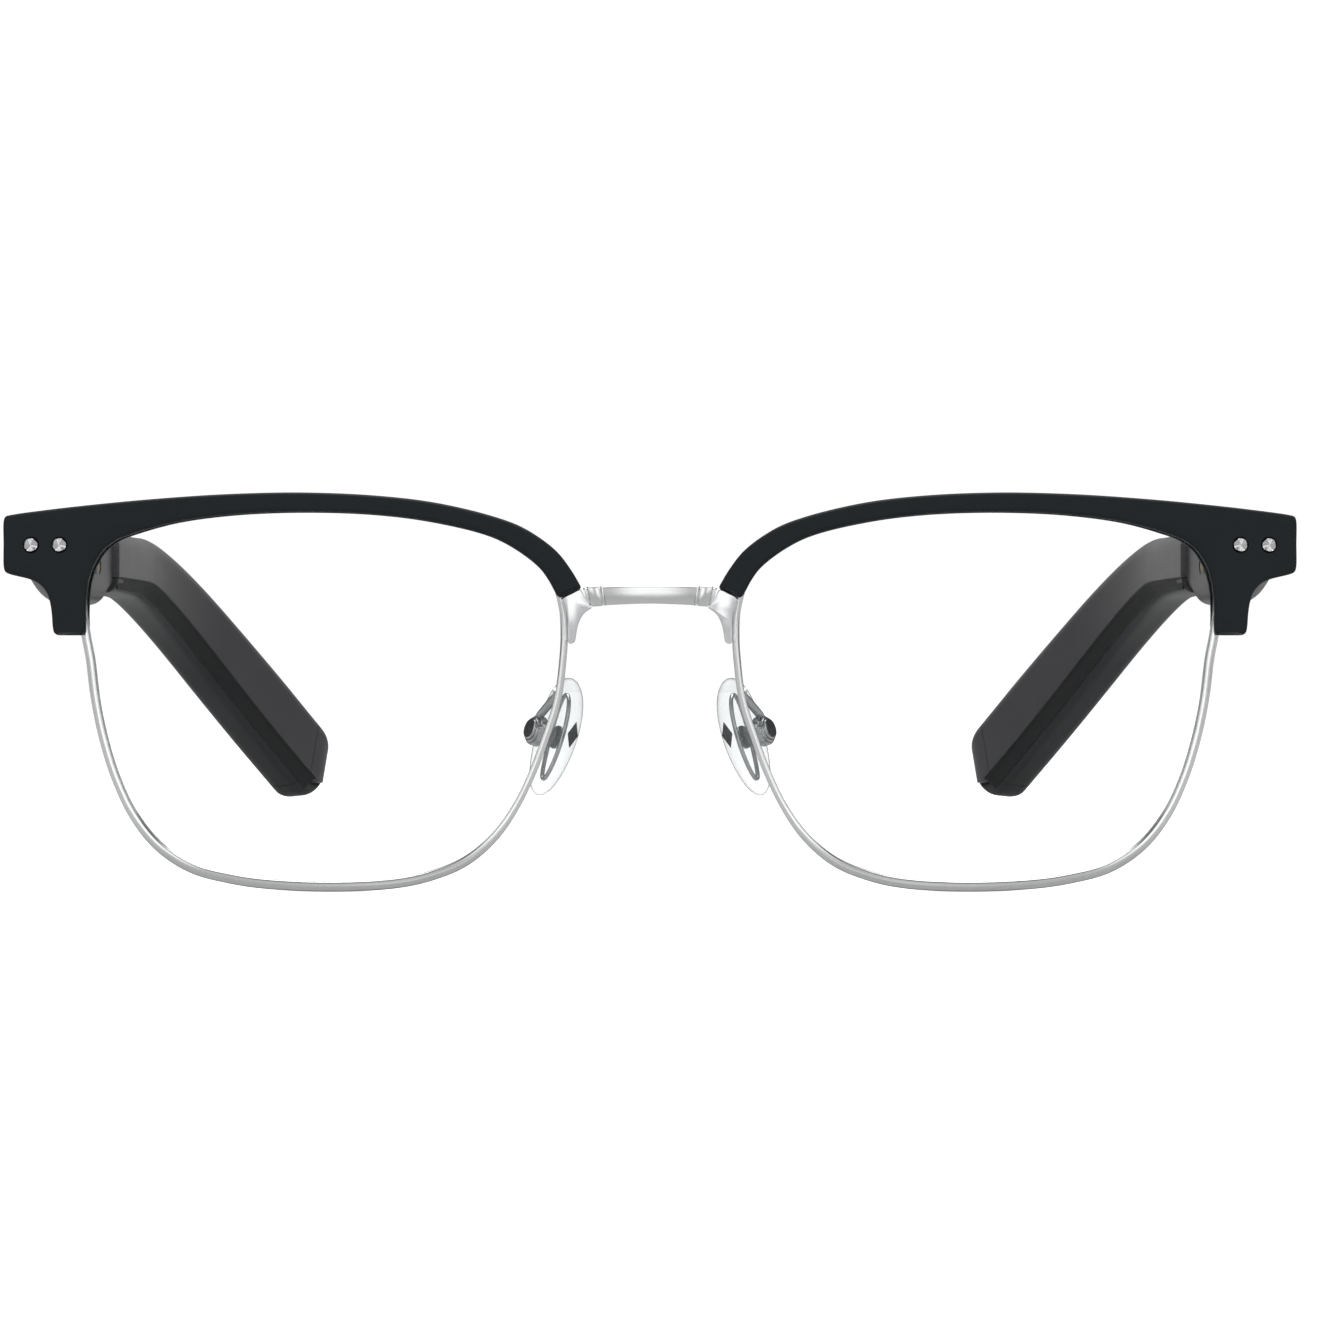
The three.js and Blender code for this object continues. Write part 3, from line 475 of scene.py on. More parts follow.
def softBlock(x, y, z, bevel=0.2, corner=0.4):  # a block with rounded edges, its length along y
    centre = ((x[0] + x[1]) / 2, (z[0] + z[1]) / 2)
    half = ((x[1] - x[0]) / 2, (z[1] - z[0]) / 2)
    rings = []
    for k in range(8):
        angle = min(k, 7 - k) / 3 * math.pi / 2
        inset = bevel * (1 - math.sin(angle))
        depth = bevel * (1 - math.cos(angle))
        level = y[0] + depth if k < 4 else y[1] - depth
        outline = roundRect(centre, (half[0] - inset, half[1] - inset), max(corner - inset, 0.03))
        rings.append([(px, level, pz) for px, pz in outline])
    return skin(rings)


def tubeAlong(path, radius, sides=16):
    path = np.asarray(path, float)
    run = np.gradient(path, axis=0)
    first, second = crossways(run[0])
    rings = []
    for point, direction in zip(path, run):
        direction = unit(direction)
        first = unit(first - direction * first.dot(direction))
        second = np.cross(direction, first)
        rings.append([point + (first * math.cos(a) + second * math.sin(a)) * radius
                      for a in np.arange(sides) * 2 * math.pi / sides])
    return skin(rings)


def softPlate(outline, yFront, yBack, bevel):  # a flat plate with rounded edges, facing the front
    inward = sideways(outline, True)
    middle = outline.mean(0)
    if np.einsum("ij,ij->i", inward, middle - outline).mean() < 0:
        inward = -inward
    rings = []
    for k in range(8):
        angle = min(k, 7 - k) / 3 * math.pi / 2
        inset = outline + inward * bevel * (1 - math.sin(angle))
        depth = bevel * (1 - math.cos(angle))
        level = yFront + depth if k < 4 else yBack - depth
        rings.append(np.column_stack([inset[:, 0], np.full(len(inset), level), inset[:, 1]]))
    return skin(rings)


# From here a shape becomes an object, in metres
def newObject(name, shape):
    points, faces, flow = shape
    mesh = bpy.data.meshes.new(name)
    mesh.from_pydata(((points + toRow) * 0.001).tolist(), [], faces)
    layer = mesh.attributes.new("flow", "FLOAT_VECTOR", "POINT")
    layer.data.foreach_set("vector", flow.astype(np.float32).ravel())
    work = bmesh.new()
    work.from_mesh(mesh)
    bmesh.ops.recalc_face_normals(work, faces=work.faces)
    work.to_mesh(mesh)
    work.free()
    piece = bpy.data.objects.new(name, mesh)
    scene.collection.objects.link(piece)
    return piece


def carve(piece, tools):  # tools is a list of (operation, shape)
    helpers = []
    for operation, shape in tools:
        helper = newObject(piece.name + "_tool", shape)
        cut = piece.modifiers.new("carve", "BOOLEAN")
        cut.operation = operation
        cut.solver = "EXACT"
        cut.object = helper
        helpers.append(helper)
    bpy.context.view_layer.update()
    seen = piece.evaluated_get(bpy.context.evaluated_depsgraph_get())
    mesh = bpy.data.meshes.new_from_object(seen)
    piece.modifiers.clear()
    piece.data = mesh
    mesh.name = piece.name
    for helper in helpers:
        bpy.data.objects.remove(helper)


def dress(piece, finish, body, stands, crease):
    mesh = piece.data
    mesh.materials.clear()
    mesh.materials.append(finishes[finish])
    mesh.shade_smooth()
    mesh.set_sharp_from_angle(angle=math.radians(crease))
    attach(piece, body)
    if stands:
        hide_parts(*stands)


def addPiece(name, shape, finish, body, stands=(), crease=32, tools=()):
    piece = newObject(name, shape)
    if tools:
        carve(piece, tools)
    dress(piece, finish, body, stands, crease)
    return piece


def addPair(name, shape, finish, body, stands=(), crease=32, tools=()):
    bodies = {side: "front" if body == "front" else f"{body}_{side}" for side in ("right", "left")}
    right = addPiece(f"{name}_right", shape, finish, bodies["right"],
                     [f"{node}_right" for node in stands], crease, tools)
    mesh = right.data.copy()
    mesh.name = f"{name}_left"
    mesh.transform(Matrix.Scale(-1, 4, (1, 0, 0)))
    mesh.flip_normals()
    left = bpy.data.objects.new(f"{name}_left", mesh)
    scene.collection.objects.link(left)
    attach(left, bodies["left"])
    if stands:
        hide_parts(*[f"{node}_left" for node in stands])


# Camera, in millimetres; the distance is from the front face
camera = {"distance": 500.0, "height": 25.8, "width": 146.32, "slide": 10 / 1320}
eye = bpy.data.cameras.new("camera")
eye.sensor_width = 36.0
eye.lens = 36.0 * camera["distance"] / camera["width"]
eye.shift_x = camera["slide"]
eye.clip_start = 0.01
eye.clip_end = 50.0
eyeObject = bpy.data.objects.new("camera", eye)
eyeObject.location = (
    0.0,
    (toRow[1] - camera["distance"]) * 0.001,
    (toRow[2] + camera["height"]) * 0.001,
)
eyeObject.rotation_euler = (math.pi / 2, 0.0, 0.0)
scene.collection.objects.link(eyeObject)
scene.camera = eyeObject
scene.view_settings.view_transform = "Standard"
print("camera placed")


# Rims and lenses
rim = {"front": 1.3, "depth": 1.8, "widthNose": 0.8, "widthTemple": 0.95, "widthBottom": 1.15,
       "groove": 0.45, "corner": 0.25, "stations": 260}
lock = {"x": (63.9, 66.1), "z": (29.7, 33.1), "half": 0.95, "screwX": 65.2, "screwZ": 28.82}
lens = {"thickness": 1.9, "bulge": 1.6, "inset": 0.06, "rings": 14}
lensCentre = np.array([36.6, 22.0])
lensKeys = [
    (35.6, 1.1), (28.4, 1.5), (24.6, 2.3), (20.9, 3.8), (17.7, 6.4), (15.3, 9.65), (13.5, 13.3),
    (12.0, 17.3), (10.7, 21.4), (10.1, 25.8), (9.95, 28.6), (10.15, 31.6), (11.3, 35.0),
    (14.6, 38.5), (20.4, 40.8), (27.2, 42.0), (36.0, 42.6), (45.7, 42.4), (52.5, 41.6),
    (57.8, 40.3), (61.3, 38.5), (63.1, 35.2), (63.3, 31.5), (62.9, 28.6), (62.4, 26.0),
    (61.8, 21.3), (60.85, 16.9), (59.5, 12.7), (57.6, 8.8), (54.8, 5.4), (51.1, 3.05),
    (46.9, 1.95), (43.0, 1.4),
]
lensEdge = evenly(curveThrough(lensKeys, 12, closed=True), rim["stations"])
rimOut = -sideways(lensEdge, True, lensCentre)
rimMiddle = rim["front"] + rim["depth"] / 2


def rimWidths(edge):
    side = smooth(edge[:, 0], lensCentre[0] - 20, lensCentre[0] + 20)
    low = 1 - smooth(edge[:, 1], 1, 12)
    width = rim["widthNose"] + (rim["widthTemple"] - rim["widthNose"]) * side
    return width + (rim["widthBottom"] - width) * low


def rimSection(width):  # [outward, back] round the rim's section, with the lens's V groove
    r, depth, first = rim["corner"], rim["depth"], rim["front"]
    points = []
    for cx, cy, quarter in [(width - r, r, 3), (width - r, depth - r, 0), (r, depth - r, 1)]:
        points += quarterArc(cx, first + cy, r, quarter)
    points += [(0, rimMiddle + rim["groove"]), (rim["groove"] * 0.8, rimMiddle),
               (0, rimMiddle - rim["groove"])]
    points += quarterArc(r, first + r, r, 2)
    face = [(r + (width - 2 * r) * k / 4, first - 0.05 * math.sin(math.pi * k / 4))
            for k in (1, 2, 3)]
    return np.array(points + face)


def bowed(points):  # bent back with the front's wrap
    points = np.array(points, float)
    points[..., 1] += wrapAt(points[..., 0])
    return points


def rimShape():
    rings = []
    for point, out, width in zip(lensEdge, rimOut, rimWidths(lensEdge)):
        section = rimSection(width)
        rings.append(np.column_stack([
            point[0] + out[0] * section[:, 0], section[:, 1], point[1] + out[1] * section[:, 0]]))
    points, faces, flow = softBlock(
        lock["x"], (rimMiddle - lock["half"], rimMiddle + lock["half"]), lock["z"], 0.25, 0.3)
    return together(skin(bowed(rings), loop=True), (bowed(points), faces, flow))


addPair("wire_rim", rimShape(), "rim", "front", ["rim"], crease=28)
lockScrew = turned([(0, 0), (0.6, 0), (0.75, 0.12), (0.75, 0.5), (0.36, 0.5), (0.36, 3.6),
                    (0, 3.6)],
                   (lock["screwX"], rimMiddle + float(wrapAt(lock["screwX"])), lock["screwZ"]),
                   (0, 0, 1), 32)
addPair("lock_screw", lockScrew, "hinge", "front", ["rim_lock_screw"])


def lensShape():
    half = lens["thickness"] / 2
    edge = lensEdge - rimOut * lens["inset"]
    rows = []
    shares = np.linspace(0.02, 1, lens["rings"])
    for face, order in ((-half, shares), (half, shares[::-1])):
        for share in order:
            flat = lensCentre + (edge - lensCentre) * share
            level = rimMiddle + face * (1 if share < 1 else 0.55)
            level -= lens["bulge"] * (1 - share * share)
            rows.append(np.column_stack([flat[:, 0], np.full(len(flat), level), flat[:, 1]]))
        if face < 0:
            ridge = lensEdge + rimOut * rim["groove"] * 0.5
            rows.append(np.column_stack([ridge[:, 0], np.full(len(ridge), rimMiddle), ridge[:, 1]]))
    return skin(bowed(rows))


addPair("lens_blank", lensShape(), "lens", "front", ["lens"], crease=40)
print("rims and lenses made")


# Brows
brow = {"depth": 4.4, "edge": 0.42, "back": 0.3, "slotFront": 1.0, "slotBack": 3.4,
        "slotDepth": 1.55, "lockDepth": 3.05, "steps": 9}
browKeys = np.array([  # top edge x, z, then the lens-side edge that faces it
    (8.05, 33.58, 9.72, 32.76), (7.80, 33.74, 10.02, 32.74), (7.74, 33.98, 10.30, 32.92),
    (8.02, 34.55, 10.56, 33.35), (8.90, 36.00, 11.30, 34.70), (10.50, 38.00, 12.30, 36.02),
    (13.90, 40.40, 14.90, 38.05),
    (17.20, 41.70, 17.90, 39.58), (23.90, 43.30, 24.20, 41.15), (30.60, 44.10, 30.70, 42.00),
    (38.90, 44.46, 38.60, 42.30), (47.40, 44.30, 46.50, 42.02), (55.50, 43.80, 53.00, 41.20),
    (61.30, 43.30, 57.50, 40.02), (67.10, 42.70, 59.60, 39.25), (71.85, 42.08, 60.90, 38.35),
    (72.35, 41.93, 61.20, 38.05), (72.57, 41.60, 61.45, 37.75), (72.62, 38.80, 61.95, 36.98),
    (72.57, 36.05, 62.35, 36.25), (72.38, 35.68, 62.45, 36.00), (71.95, 35.45, 62.55, 35.75),
    (69.45, 34.80, 62.78, 34.95), (68.50, 34.30, 62.90, 34.50), (67.70, 33.40, 63.05, 33.50),
    (67.30, 32.30, 63.15, 32.30), (67.10, 31.10, 63.20, 31.10), (66.95, 29.35, 63.20, 29.30),
    (66.80, 28.85, 63.28, 28.85), (66.40, 28.57, 63.60, 28.57),
])
topEdge = curveThrough(browKeys[:, :2], brow["steps"])
lensSide = curveThrough(browKeys[:, 2:], brow["steps"])
topIn = sideways(topEdge, False)
topIn *= np.sign(np.einsum("ij,ij->i", topIn, lensSide - topEdge))[:, None]
lensIn = sideways(lensSide, False)
lensIn *= np.sign(np.einsum("ij,ij->i", lensIn, topEdge - lensSide))[:, None]


def browSection(top, low, topNormal, lowNormal):
    width = np.linalg.norm(top - low)
    besideLock = low[0] > 60 and low[1] < 33.4
    slot = min(width - 0.55, brow["lockDepth"] if besideLock else brow["slotDepth"])
    r, b, depth = brow["edge"], brow["back"], brow["depth"]
    points = []

    def put(flat, level):
        points.append((flat[0], level + float(wrapAt(flat[0])), flat[1]))

    for k in range(4):
        angle = k / 3 * math.pi / 2
        put(top + topNormal * b * (1 - math.sin(angle)), depth - b * (1 - math.cos(angle)))
    for k in range(7):
        angle = k / 6 * math.pi / 2
        put(top + topNormal * r * (1 - math.cos(angle)), r * (1 - math.sin(angle)))
    inner, outer = top + topNormal * r, low + lowNormal * r
    for share in np.linspace(0, 1, 8)[1:-1]:
        put(inner + (outer - inner) * share, 0)
    for k in range(7):
        angle = (1 - k / 6) * math.pi / 2
        put(low + lowNormal * r * (1 - math.cos(angle)), r * (1 - math.sin(angle)))
    deep = low + (top - low) / width * slot
    put(low, brow["slotFront"])
    put(deep, brow["slotFront"])
    put(deep, brow["slotBack"])
    put(low, brow["slotBack"])
    for k in range(4):
        angle = (1 - k / 3) * math.pi / 2
        put(low + lowNormal * b * (1 - math.sin(angle)), depth - b * (1 - math.cos(angle)))
    inner, outer = low + lowNormal * b, top + topNormal * b
    for share in np.linspace(0, 1, 8)[1:-1]:
        put(inner + (outer - inner) * share, depth)
    return points


def browShape():
    return skin([browSection(*station) for station in zip(topEdge, lensSide, topIn, lensIn)])


seat = {"x": (64.3, 72.2), "z": (35.75, 41.85), "back": 10.7, "corner": 0.75,
        "pocket": (68.1, 38.9), "pocketHalf": (3.1, 2.3), "pocketDepth": 1.1}


def seatShape():  # the brow's end, carried back to the temple, with a pocket for the hinge leaf
    rings = []
    levels = [(7.6, 0.5), (8.0, -0.3), (9.0, -0.3), (9.4, -0.1), (9.7, 0.0),
              (seat["back"] - 0.25, 0), (seat["back"] - 0.07, 0.07), (seat["back"], 0.25)]
    for level, inset in levels:
        centre = ((seat["x"][0] + seat["x"][1]) / 2, (seat["z"][0] + seat["z"][1]) / 2)
        flare = max(-inset, 0)
        half = ((seat["x"][1] - seat["x"][0]) / 2 - max(inset, 0) + flare / 2,
                (seat["z"][1] - seat["z"][0]) / 2 - max(inset, 0))
        outline = roundRect((centre[0] - flare / 2, centre[1]), half, seat["corner"])
        rings.append([(px, level, pz) for px, pz in outline])
    for level in (seat["back"], seat["back"] - seat["pocketDepth"]):
        outline = roundRect(seat["pocket"], seat["pocketHalf"], 0.4)
        rings.append([(px, level, pz) for px, pz in outline])
    return skin(rings)


rivet = {"x": (66.15, 69.42), "z": 38.7, "radius": 0.80, "well": 0.93, "proud": 0.1,
         "rays": 3, "relief": 0.115, "turn": 0.6, "foot": 10.4}


def rivetTools():
    return [("DIFFERENCE", turned(softProfile(rivet["well"], 1.6, 0.02),
                                  (x, float(wrapAt(x)) - 0.8, rivet["z"]), (0, 1, 0), 48))
            for x in rivet["x"]]


addPair("brow_shell", browShape(), "brow", "front", ["brow"], crease=35,
        tools=[("UNION", seatShape())] + rivetTools())

for which, x in zip(("inner", "outer"), rivet["x"]):
    y = float(wrapAt(x)) - rivet["proud"]
    profile = [(0, 0.05), (0.12, 0.04), (0.3, 0.03), (0.5, 0.02), (0.68, 0.01), (0.74, 0.03),
               (rivet["radius"], 0.12), (rivet["radius"], 1.0), (0.45, 1.0),
               (0.45, rivet["foot"] - y), (0, rivet["foot"] - y)]

    def rays(k, angles):  # low folds that fan out over the head
        height = rivet["relief"] * min(k, 3) / 3 * profile[k][0] * (k < 5)
        return height * np.cos(rivet["rays"] * angles + rivet["turn"])

    addPair(f"rivet_head_{which}", turned(profile, (x, y, rivet["z"]), (0, 1, 0), 80, relief=rays),
            "rivet", "front", [f"rivet_{which}"], crease=24)
    # painted shade: a near-black disc lies on the floor of the recess round the rivet head
    floorEdge = rivet["well"] + 0.03
    well = turned([(0, 0.02), (floorEdge, 0.02), (floorEdge, -0.02), (0, -0.02)],
                  (x, float(wrapAt(x)) + 0.78, rivet["z"]), (0, 1, 0), 48)
    addPair(f"rivet_well_{which}", well, "well", "front")
print("brows and rivets made")


# Bridge and brackets
bridge = {"height": 2.0, "depth": 1.5, "arch": 0.16, "top": 33.92, "front": 0.6, "lean": 0.28,
          "bend": 0.014, "round": 0.22}
bridgeStations = [  # distance from the middle, thickness added all round
    (7.20, 0.00), (7.02, 0.02), (6.93, 0.00), (6.90, -0.13), (6.80, -0.13), (6.77, 0.02),
    (6.68, 0.06), (5.62, 0.06), (5.50, 0.02), (5.47, -0.12), (5.40, -0.12), (5.36, 0.00),
    (5.22, 0.05), (5.12, 0.04), (5.06, 0.0), (4.4, 0.0), (3.6, 0.0), (2.8, 0.0), (2.0, 0.0),
    (1.2, 0.0), (0.5, 0.0),
]


def bridgeRing(x, swell):
    share = min(1.0, abs(x) / 6.9)
    top = bridge["top"] + bridge["arch"] * (1 - share * share) + swell
    low = top - bridge["height"] - 0.14 * share - 2 * swell
    first = bridge["front"] + bridge["bend"] * x * x - swell
    last = bridge["front"] + bridge["depth"] + bridge["bend"] * x * x * 0.5
    r, points = bridge["round"], []
    for cy, cz, quarter in [(first + r, low + r, 2), (last - r, low + r, 3),
                            (last - r, top - r, 0), (first + r, top - r, 1)]:
        points += quarterArc(cy, cz, r, quarter)
    lean = math.copysign(bridge["lean"] * share, x)
    middle = (top + low) / 2
    return [(x + lean * (z - middle) / (top - low) * 2, y, z) for y, z in points]


bridgeRow = [(x, s) for x, s in bridgeStations] + [(-x, s) for x, s in bridgeStations[::-1]]
addPiece("bridge_rod", skin([bridgeRing(x, s) for x, s in bridgeRow]), "bridge", "front",
         ["bridge_bar"], crease=24)

bracketKeys = [
    (7.72, 33.62), (7.20, 32.75), (6.72, 31.98), (6.50, 31.62), (6.62, 31.48), (7.02, 31.22),
    (7.44, 30.84), (7.76, 30.32), (8.00, 29.70), (8.18, 28.90), (8.30, 28.10), (8.42, 27.78),
    (8.70, 27.62), (9.04, 27.66), (9.06, 28.6), (9.12, 29.8), (9.25, 31.0), (9.60, 32.2),
    (9.66, 32.62), (9.42, 32.86), (8.60, 33.28), (7.98, 33.60),
]
addPair("bridge_plate", softPlate(curveThrough(bracketKeys, 4, closed=True), 0.78, 2.8, 0.13),
        "bracket", "front", ["bridge_bracket"], crease=30)
print("bridge made")


# Nose pads
pad = {"length": 13.8, "width": 7.6, "thick": 2.1, "box": 1.75, "boxDepth": 1.6, "boss": 1.1,
       "bossDepth": 0.8, "gap": 0.3, "taper": 0.12, "sag": 0.35, "sides": 72}
padNormal = unit((-0.82, 0.5, -0.28))
padAxis = np.array((0.266, -0.1, -0.96))
padAxis = unit(padAxis - padNormal * padAxis.dot(padNormal))
padAcross = np.cross(padNormal, padAxis)
boxCentre = np.array((13.0, 8.3, 17.9))
padCentre = boxCentre + padNormal * (pad["boxDepth"] / 2 + pad["gap"] + pad["bossDepth"]
                                     + pad["thick"] / 2)


def eggPath(length, width, height):  # the pad's outline, or a smaller one like it
    angles = np.arange(pad["sides"]) * 2 * math.pi / pad["sides"]
    along = np.cos(angles) * length / 2
    across = np.sin(angles) * width / 2 * (1 - pad["taper"] * np.cos(angles))
    sag = -pad["sag"] * (along / (pad["length"] / 2)) ** 2
    return (padCentre + np.outer(along, padAxis) + np.outer(across, padAcross)
            + np.outer(height + sag, padNormal))


padLevels = [(0.05, -0.42), (0.5, -0.44), (0.78, -0.46), (0.88, -0.42), (0.95, -0.28), (0.99, -0.1),
             (1.0, 0.06), (0.985, 0.2), (0.94, 0.34), (0.85, 0.43), (0.7, 0.49), (0.45, 0.53),
             (0.2, 0.55), (0.04, 0.55)]
padBoss = turned(softProfile(pad["boss"], pad["bossDepth"] + 0.35, 0.1),
                 padCentre - padNormal * (pad["thick"] / 2 + pad["bossDepth"]), padNormal, 40)
cushion = skin([eggPath(pad["length"] * share, pad["width"] * share, level * pad["thick"])
                for share, level in padLevels])
addPair("pad_cushion", together(cushion, padBoss), "silicone", "pad", ["nose_pad"],
        crease=50)


def coreShape():  # steel frame inside the pad, round a thin plate that carries the boss
    path = eggPath(pad["length"] * 0.72, pad["width"] * 0.36, 0.0)
    rings = []
    for i, point in enumerate(path):
        run = unit(path[(i + 1) % len(path)] - path[i - 1])
        side = np.cross(run, padNormal)
        rings.append([point + side * math.cos(a) * 0.20 + padNormal * math.sin(a) * 0.26
                      for a in np.arange(12) * math.pi / 6])
    plate = turned(softProfile(1.35, 0.3, 0.06), padCentre - padNormal * 0.15, padNormal, 40)
    return together(skin(rings, loop=True), plate)


def tabShape():  # dark pointed insert near the pad's front edge
    rings = []
    for t in np.linspace(-1, 1, 11):
        half = 0.75 * (1 - abs(t)) + 0.03
        middle = padCentre + padAxis * (1.5 * t - 0.55) + padAcross * 3.05 + padNormal * 0.25
        rings.append([middle + padAcross * math.cos(a) * half + padNormal * math.sin(a) * half * 0.7
                      for a in np.arange(12) * math.pi / 6])
    return skin(rings)


addPair("pad_core", coreShape(), "wire", "pad", crease=40)
addPair("pad_insert", tabShape(), "insertAndShade", "pad", crease=60)

cupBack = boxCentre - padNormal * pad["boxDepth"] / 2
cupTop = boxCentre - padAxis * 1.5
wireRoot = np.array((10.40, rim["front"] + rim["depth"] + 0.45, 21.9))
armPath = curveThrough([
    wireRoot + (-0.1, -0.4, 0.6), wireRoot, wireRoot * 0.75 + cupTop * 0.25,
    wireRoot * 0.5 + cupTop * 0.5, wireRoot * 0.25 + cupTop * 0.75, cupTop + (-0.15, -0.05, 0.1),
    cupTop + (0.0, 0.0, -0.4),
], 10)
cup = turned([(0, 0), (1.05, 0), (1.15, 0.05), (1.2, 0.22), (1.36, 0.26), (1.45, 0.4), (1.48, 0.52),
              (1.62, 0.56), (1.72, 0.68), (pad["box"], 0.84), (pad["box"], 1.48), (1.68, 1.58),
              (1.45, 1.6), (1.38, 1.4), (0, 1.4)], cupBack, padNormal, 56)
addPair("pad_wire", together(tubeAlong(armPath, 0.48), cup), "wire", "front", ["pad_arm"],
        crease=26)
padScrew = turned([(0, 0), (0.35, 0), (0.45, 0.1), (0.45, 3.5), (0.35, 3.6), (0, 3.6)],
                  boxCentre - padAcross * 1.8, padAcross, 32)
addPair("pad_pin", padScrew, "hinge", "front", ["pad_screw"])
print("nose pads made")


# Hinges
hinge = {"barrel": 1.6, "bore": 0.72, "low": (36.8, 38.0), "middle": (38.3, 39.5),
         "high": (39.8, 41.0), "frontX": (65.2, 71.0), "rearX": (67.0, 68.2)}
pivot = np.array((front["hingeX"], front["hingeY"], 0.0))


def knuckle(level):
    return turned(softProfile(hinge["barrel"], level[1] - level[0], 0.12, hole=hinge["bore"]),
                  pivot + (0, 0, level[0]), (0, 0, 1), 48, tube=True)


webs = [softBlock((pivot[0] - 1.2, pivot[0] + 1.2), (10.4, pivot[1] - 0.9), level, 0.05, 0.12)
        for level in (hinge["low"], hinge["high"])]
frontLeaf = together(softBlock(hinge["frontX"], (9.92, 10.7), (36.8, 41.0), 0.1, 0.35),
                     knuckle(hinge["low"]), knuckle(hinge["high"]), *webs)
addPair("front_knuckles", frontLeaf, "hinge", "front", ["hinge_front_leaf"], crease=30)
rearLeaf = together(
    knuckle(hinge["middle"]),
    softBlock(hinge["rearX"], (pivot[1] + 0.9, pivot[1] + 4.2), hinge["middle"], 0.05, 0.12),
    softBlock(hinge["rearX"], (pivot[1] + 3.4, pivot[1] + 11), (37.5, 40.3), 0.1, 0.3))
addPair("rear_knuckle", rearLeaf, "hinge", "temple", ["hinge_rear_leaf"], crease=30)
pinProfile = [(0, 0), (0.5, 0), (0.6, 0.1), (0.6, 4.6), (1.02, 4.6), (1.1, 4.68), (1.1, 4.95),
              (0.98, 5.08), (0.35, 5.1), (0.3, 4.95), (0, 4.95)]
addPair("knuckle_pin", turned(pinProfile, pivot + (0, 0, front["pinFoot"]), (0, 0, 1), 40),
        "wire", "front", ["hinge_pin"])
print("hinges made")


# Front housings of the temples
pod = {"start": 11.0, "end": 50.0, "inner": 65.5, "width": 6.7, "split": 67.7, "notchX": 69.1,
       "notchEnd": 15.1, "corner": 1.8, "underCorner": 3.2, "wall": 1.1, "seam": 0.12, "lip": 0.1,
       "top": (42.0, 41.6), "low": (35.5, 32.4, 34.0), "edge": 0.3}


def podTop(y):
    return pod["top"][0] + (pod["top"][1] - pod["top"][0]) * smooth(y, pod["start"], pod["end"])


def podLow(y):
    head = smooth(y, pod["start"], pod["start"] + 20)
    tail = smooth(y, pod["end"] - 9, pod["end"])
    level = pod["low"][0] + (pod["low"][1] - pod["low"][0]) * head
    return level + (pod["low"][2] - level) * tail


def traySection(across, depth, radius, low, wall, floor):  # low is the radius of the lower corner
    half, lip = across / 2, pod["lip"]
    points = [(half - lip, 0.0)]
    for q in np.linspace(lip, depth - radius, 26):
        points.append((half, -q))
    for k in range(1, 8):
        angle = -k / 8 * math.pi / 2
        points.append((half - radius + math.cos(angle) * radius,
                       -depth + radius + math.sin(angle) * radius))
    for share in np.linspace(0, 1, 6):
        points.append((half - radius - share * (across - radius - low), -depth))
    for k in range(1, 12):
        angle = -math.pi / 2 - k / 12 * math.pi / 2
        points.append((-half + low + math.cos(angle) * low, -depth + low + math.sin(angle) * low))
    for q in np.linspace(lip, depth - low, 26)[::-1]:
        points.append((-half, -q))
    points.append((-half + lip, 0.0))
    inner = half - wall
    points += [(-inner, 0.0), (-inner, -floor * 0.6), (-inner + 0.3, -floor),
               (inner - 0.3, -floor), (inner, -floor * 0.6), (inner, 0.0)]
    return points


def podTray(side):  # 1 is the shell on the outer side, -1 the cover on the head side
    start = pod["start"] if side > 0 else pod["notchEnd"] + 0.3
    levels = [start, start + 0.05, start + 0.15, start + 0.3]
    levels += list(np.linspace(start + 1.2, pod["end"] - 0.6, 44))
    if side > 0:
        levels = sorted(levels + [pod["notchEnd"] - 0.02, pod["notchEnd"]])
    levels += [pod["end"] - 0.3, pod["end"] - 0.12, pod["end"] - 0.03, pod["end"]]
    rings = []
    for y in levels:
        inNotch = side > 0 and y < pod["notchEnd"] - 0.01
        ease = max(pod["edge"] - (y - start), pod["edge"] - (pod["end"] - y), 0)
        inset = pod["edge"] - math.sqrt(max(pod["edge"] ** 2 - ease * ease, 0))
        top, low = podTop(y) - inset, podLow(y) + inset
        outer = pod["inner"] + pod["width"] - inset if side > 0 else pod["inner"] + inset
        mouth = pod["notchX"] if inNotch else pod["split"]
        if side < 0:
            mouth = pod["split"] - pod["seam"]
        depth = abs(outer - mouth)
        shut = inNotch or y > pod["end"] - 1.1
        floor = 0.02 if shut else depth - pod["wall"] + inset
        radius = min(pod["corner"], depth - 0.25)
        under = min(pod["underCorner"], depth - 0.25) if side > 0 else radius
        section = traySection(top - low, depth, radius, under, pod["wall"], floor)
        rings.append([(mouth - side * q, y, (top + low) / 2 + p) for p, q in section])
    return skin(rings)


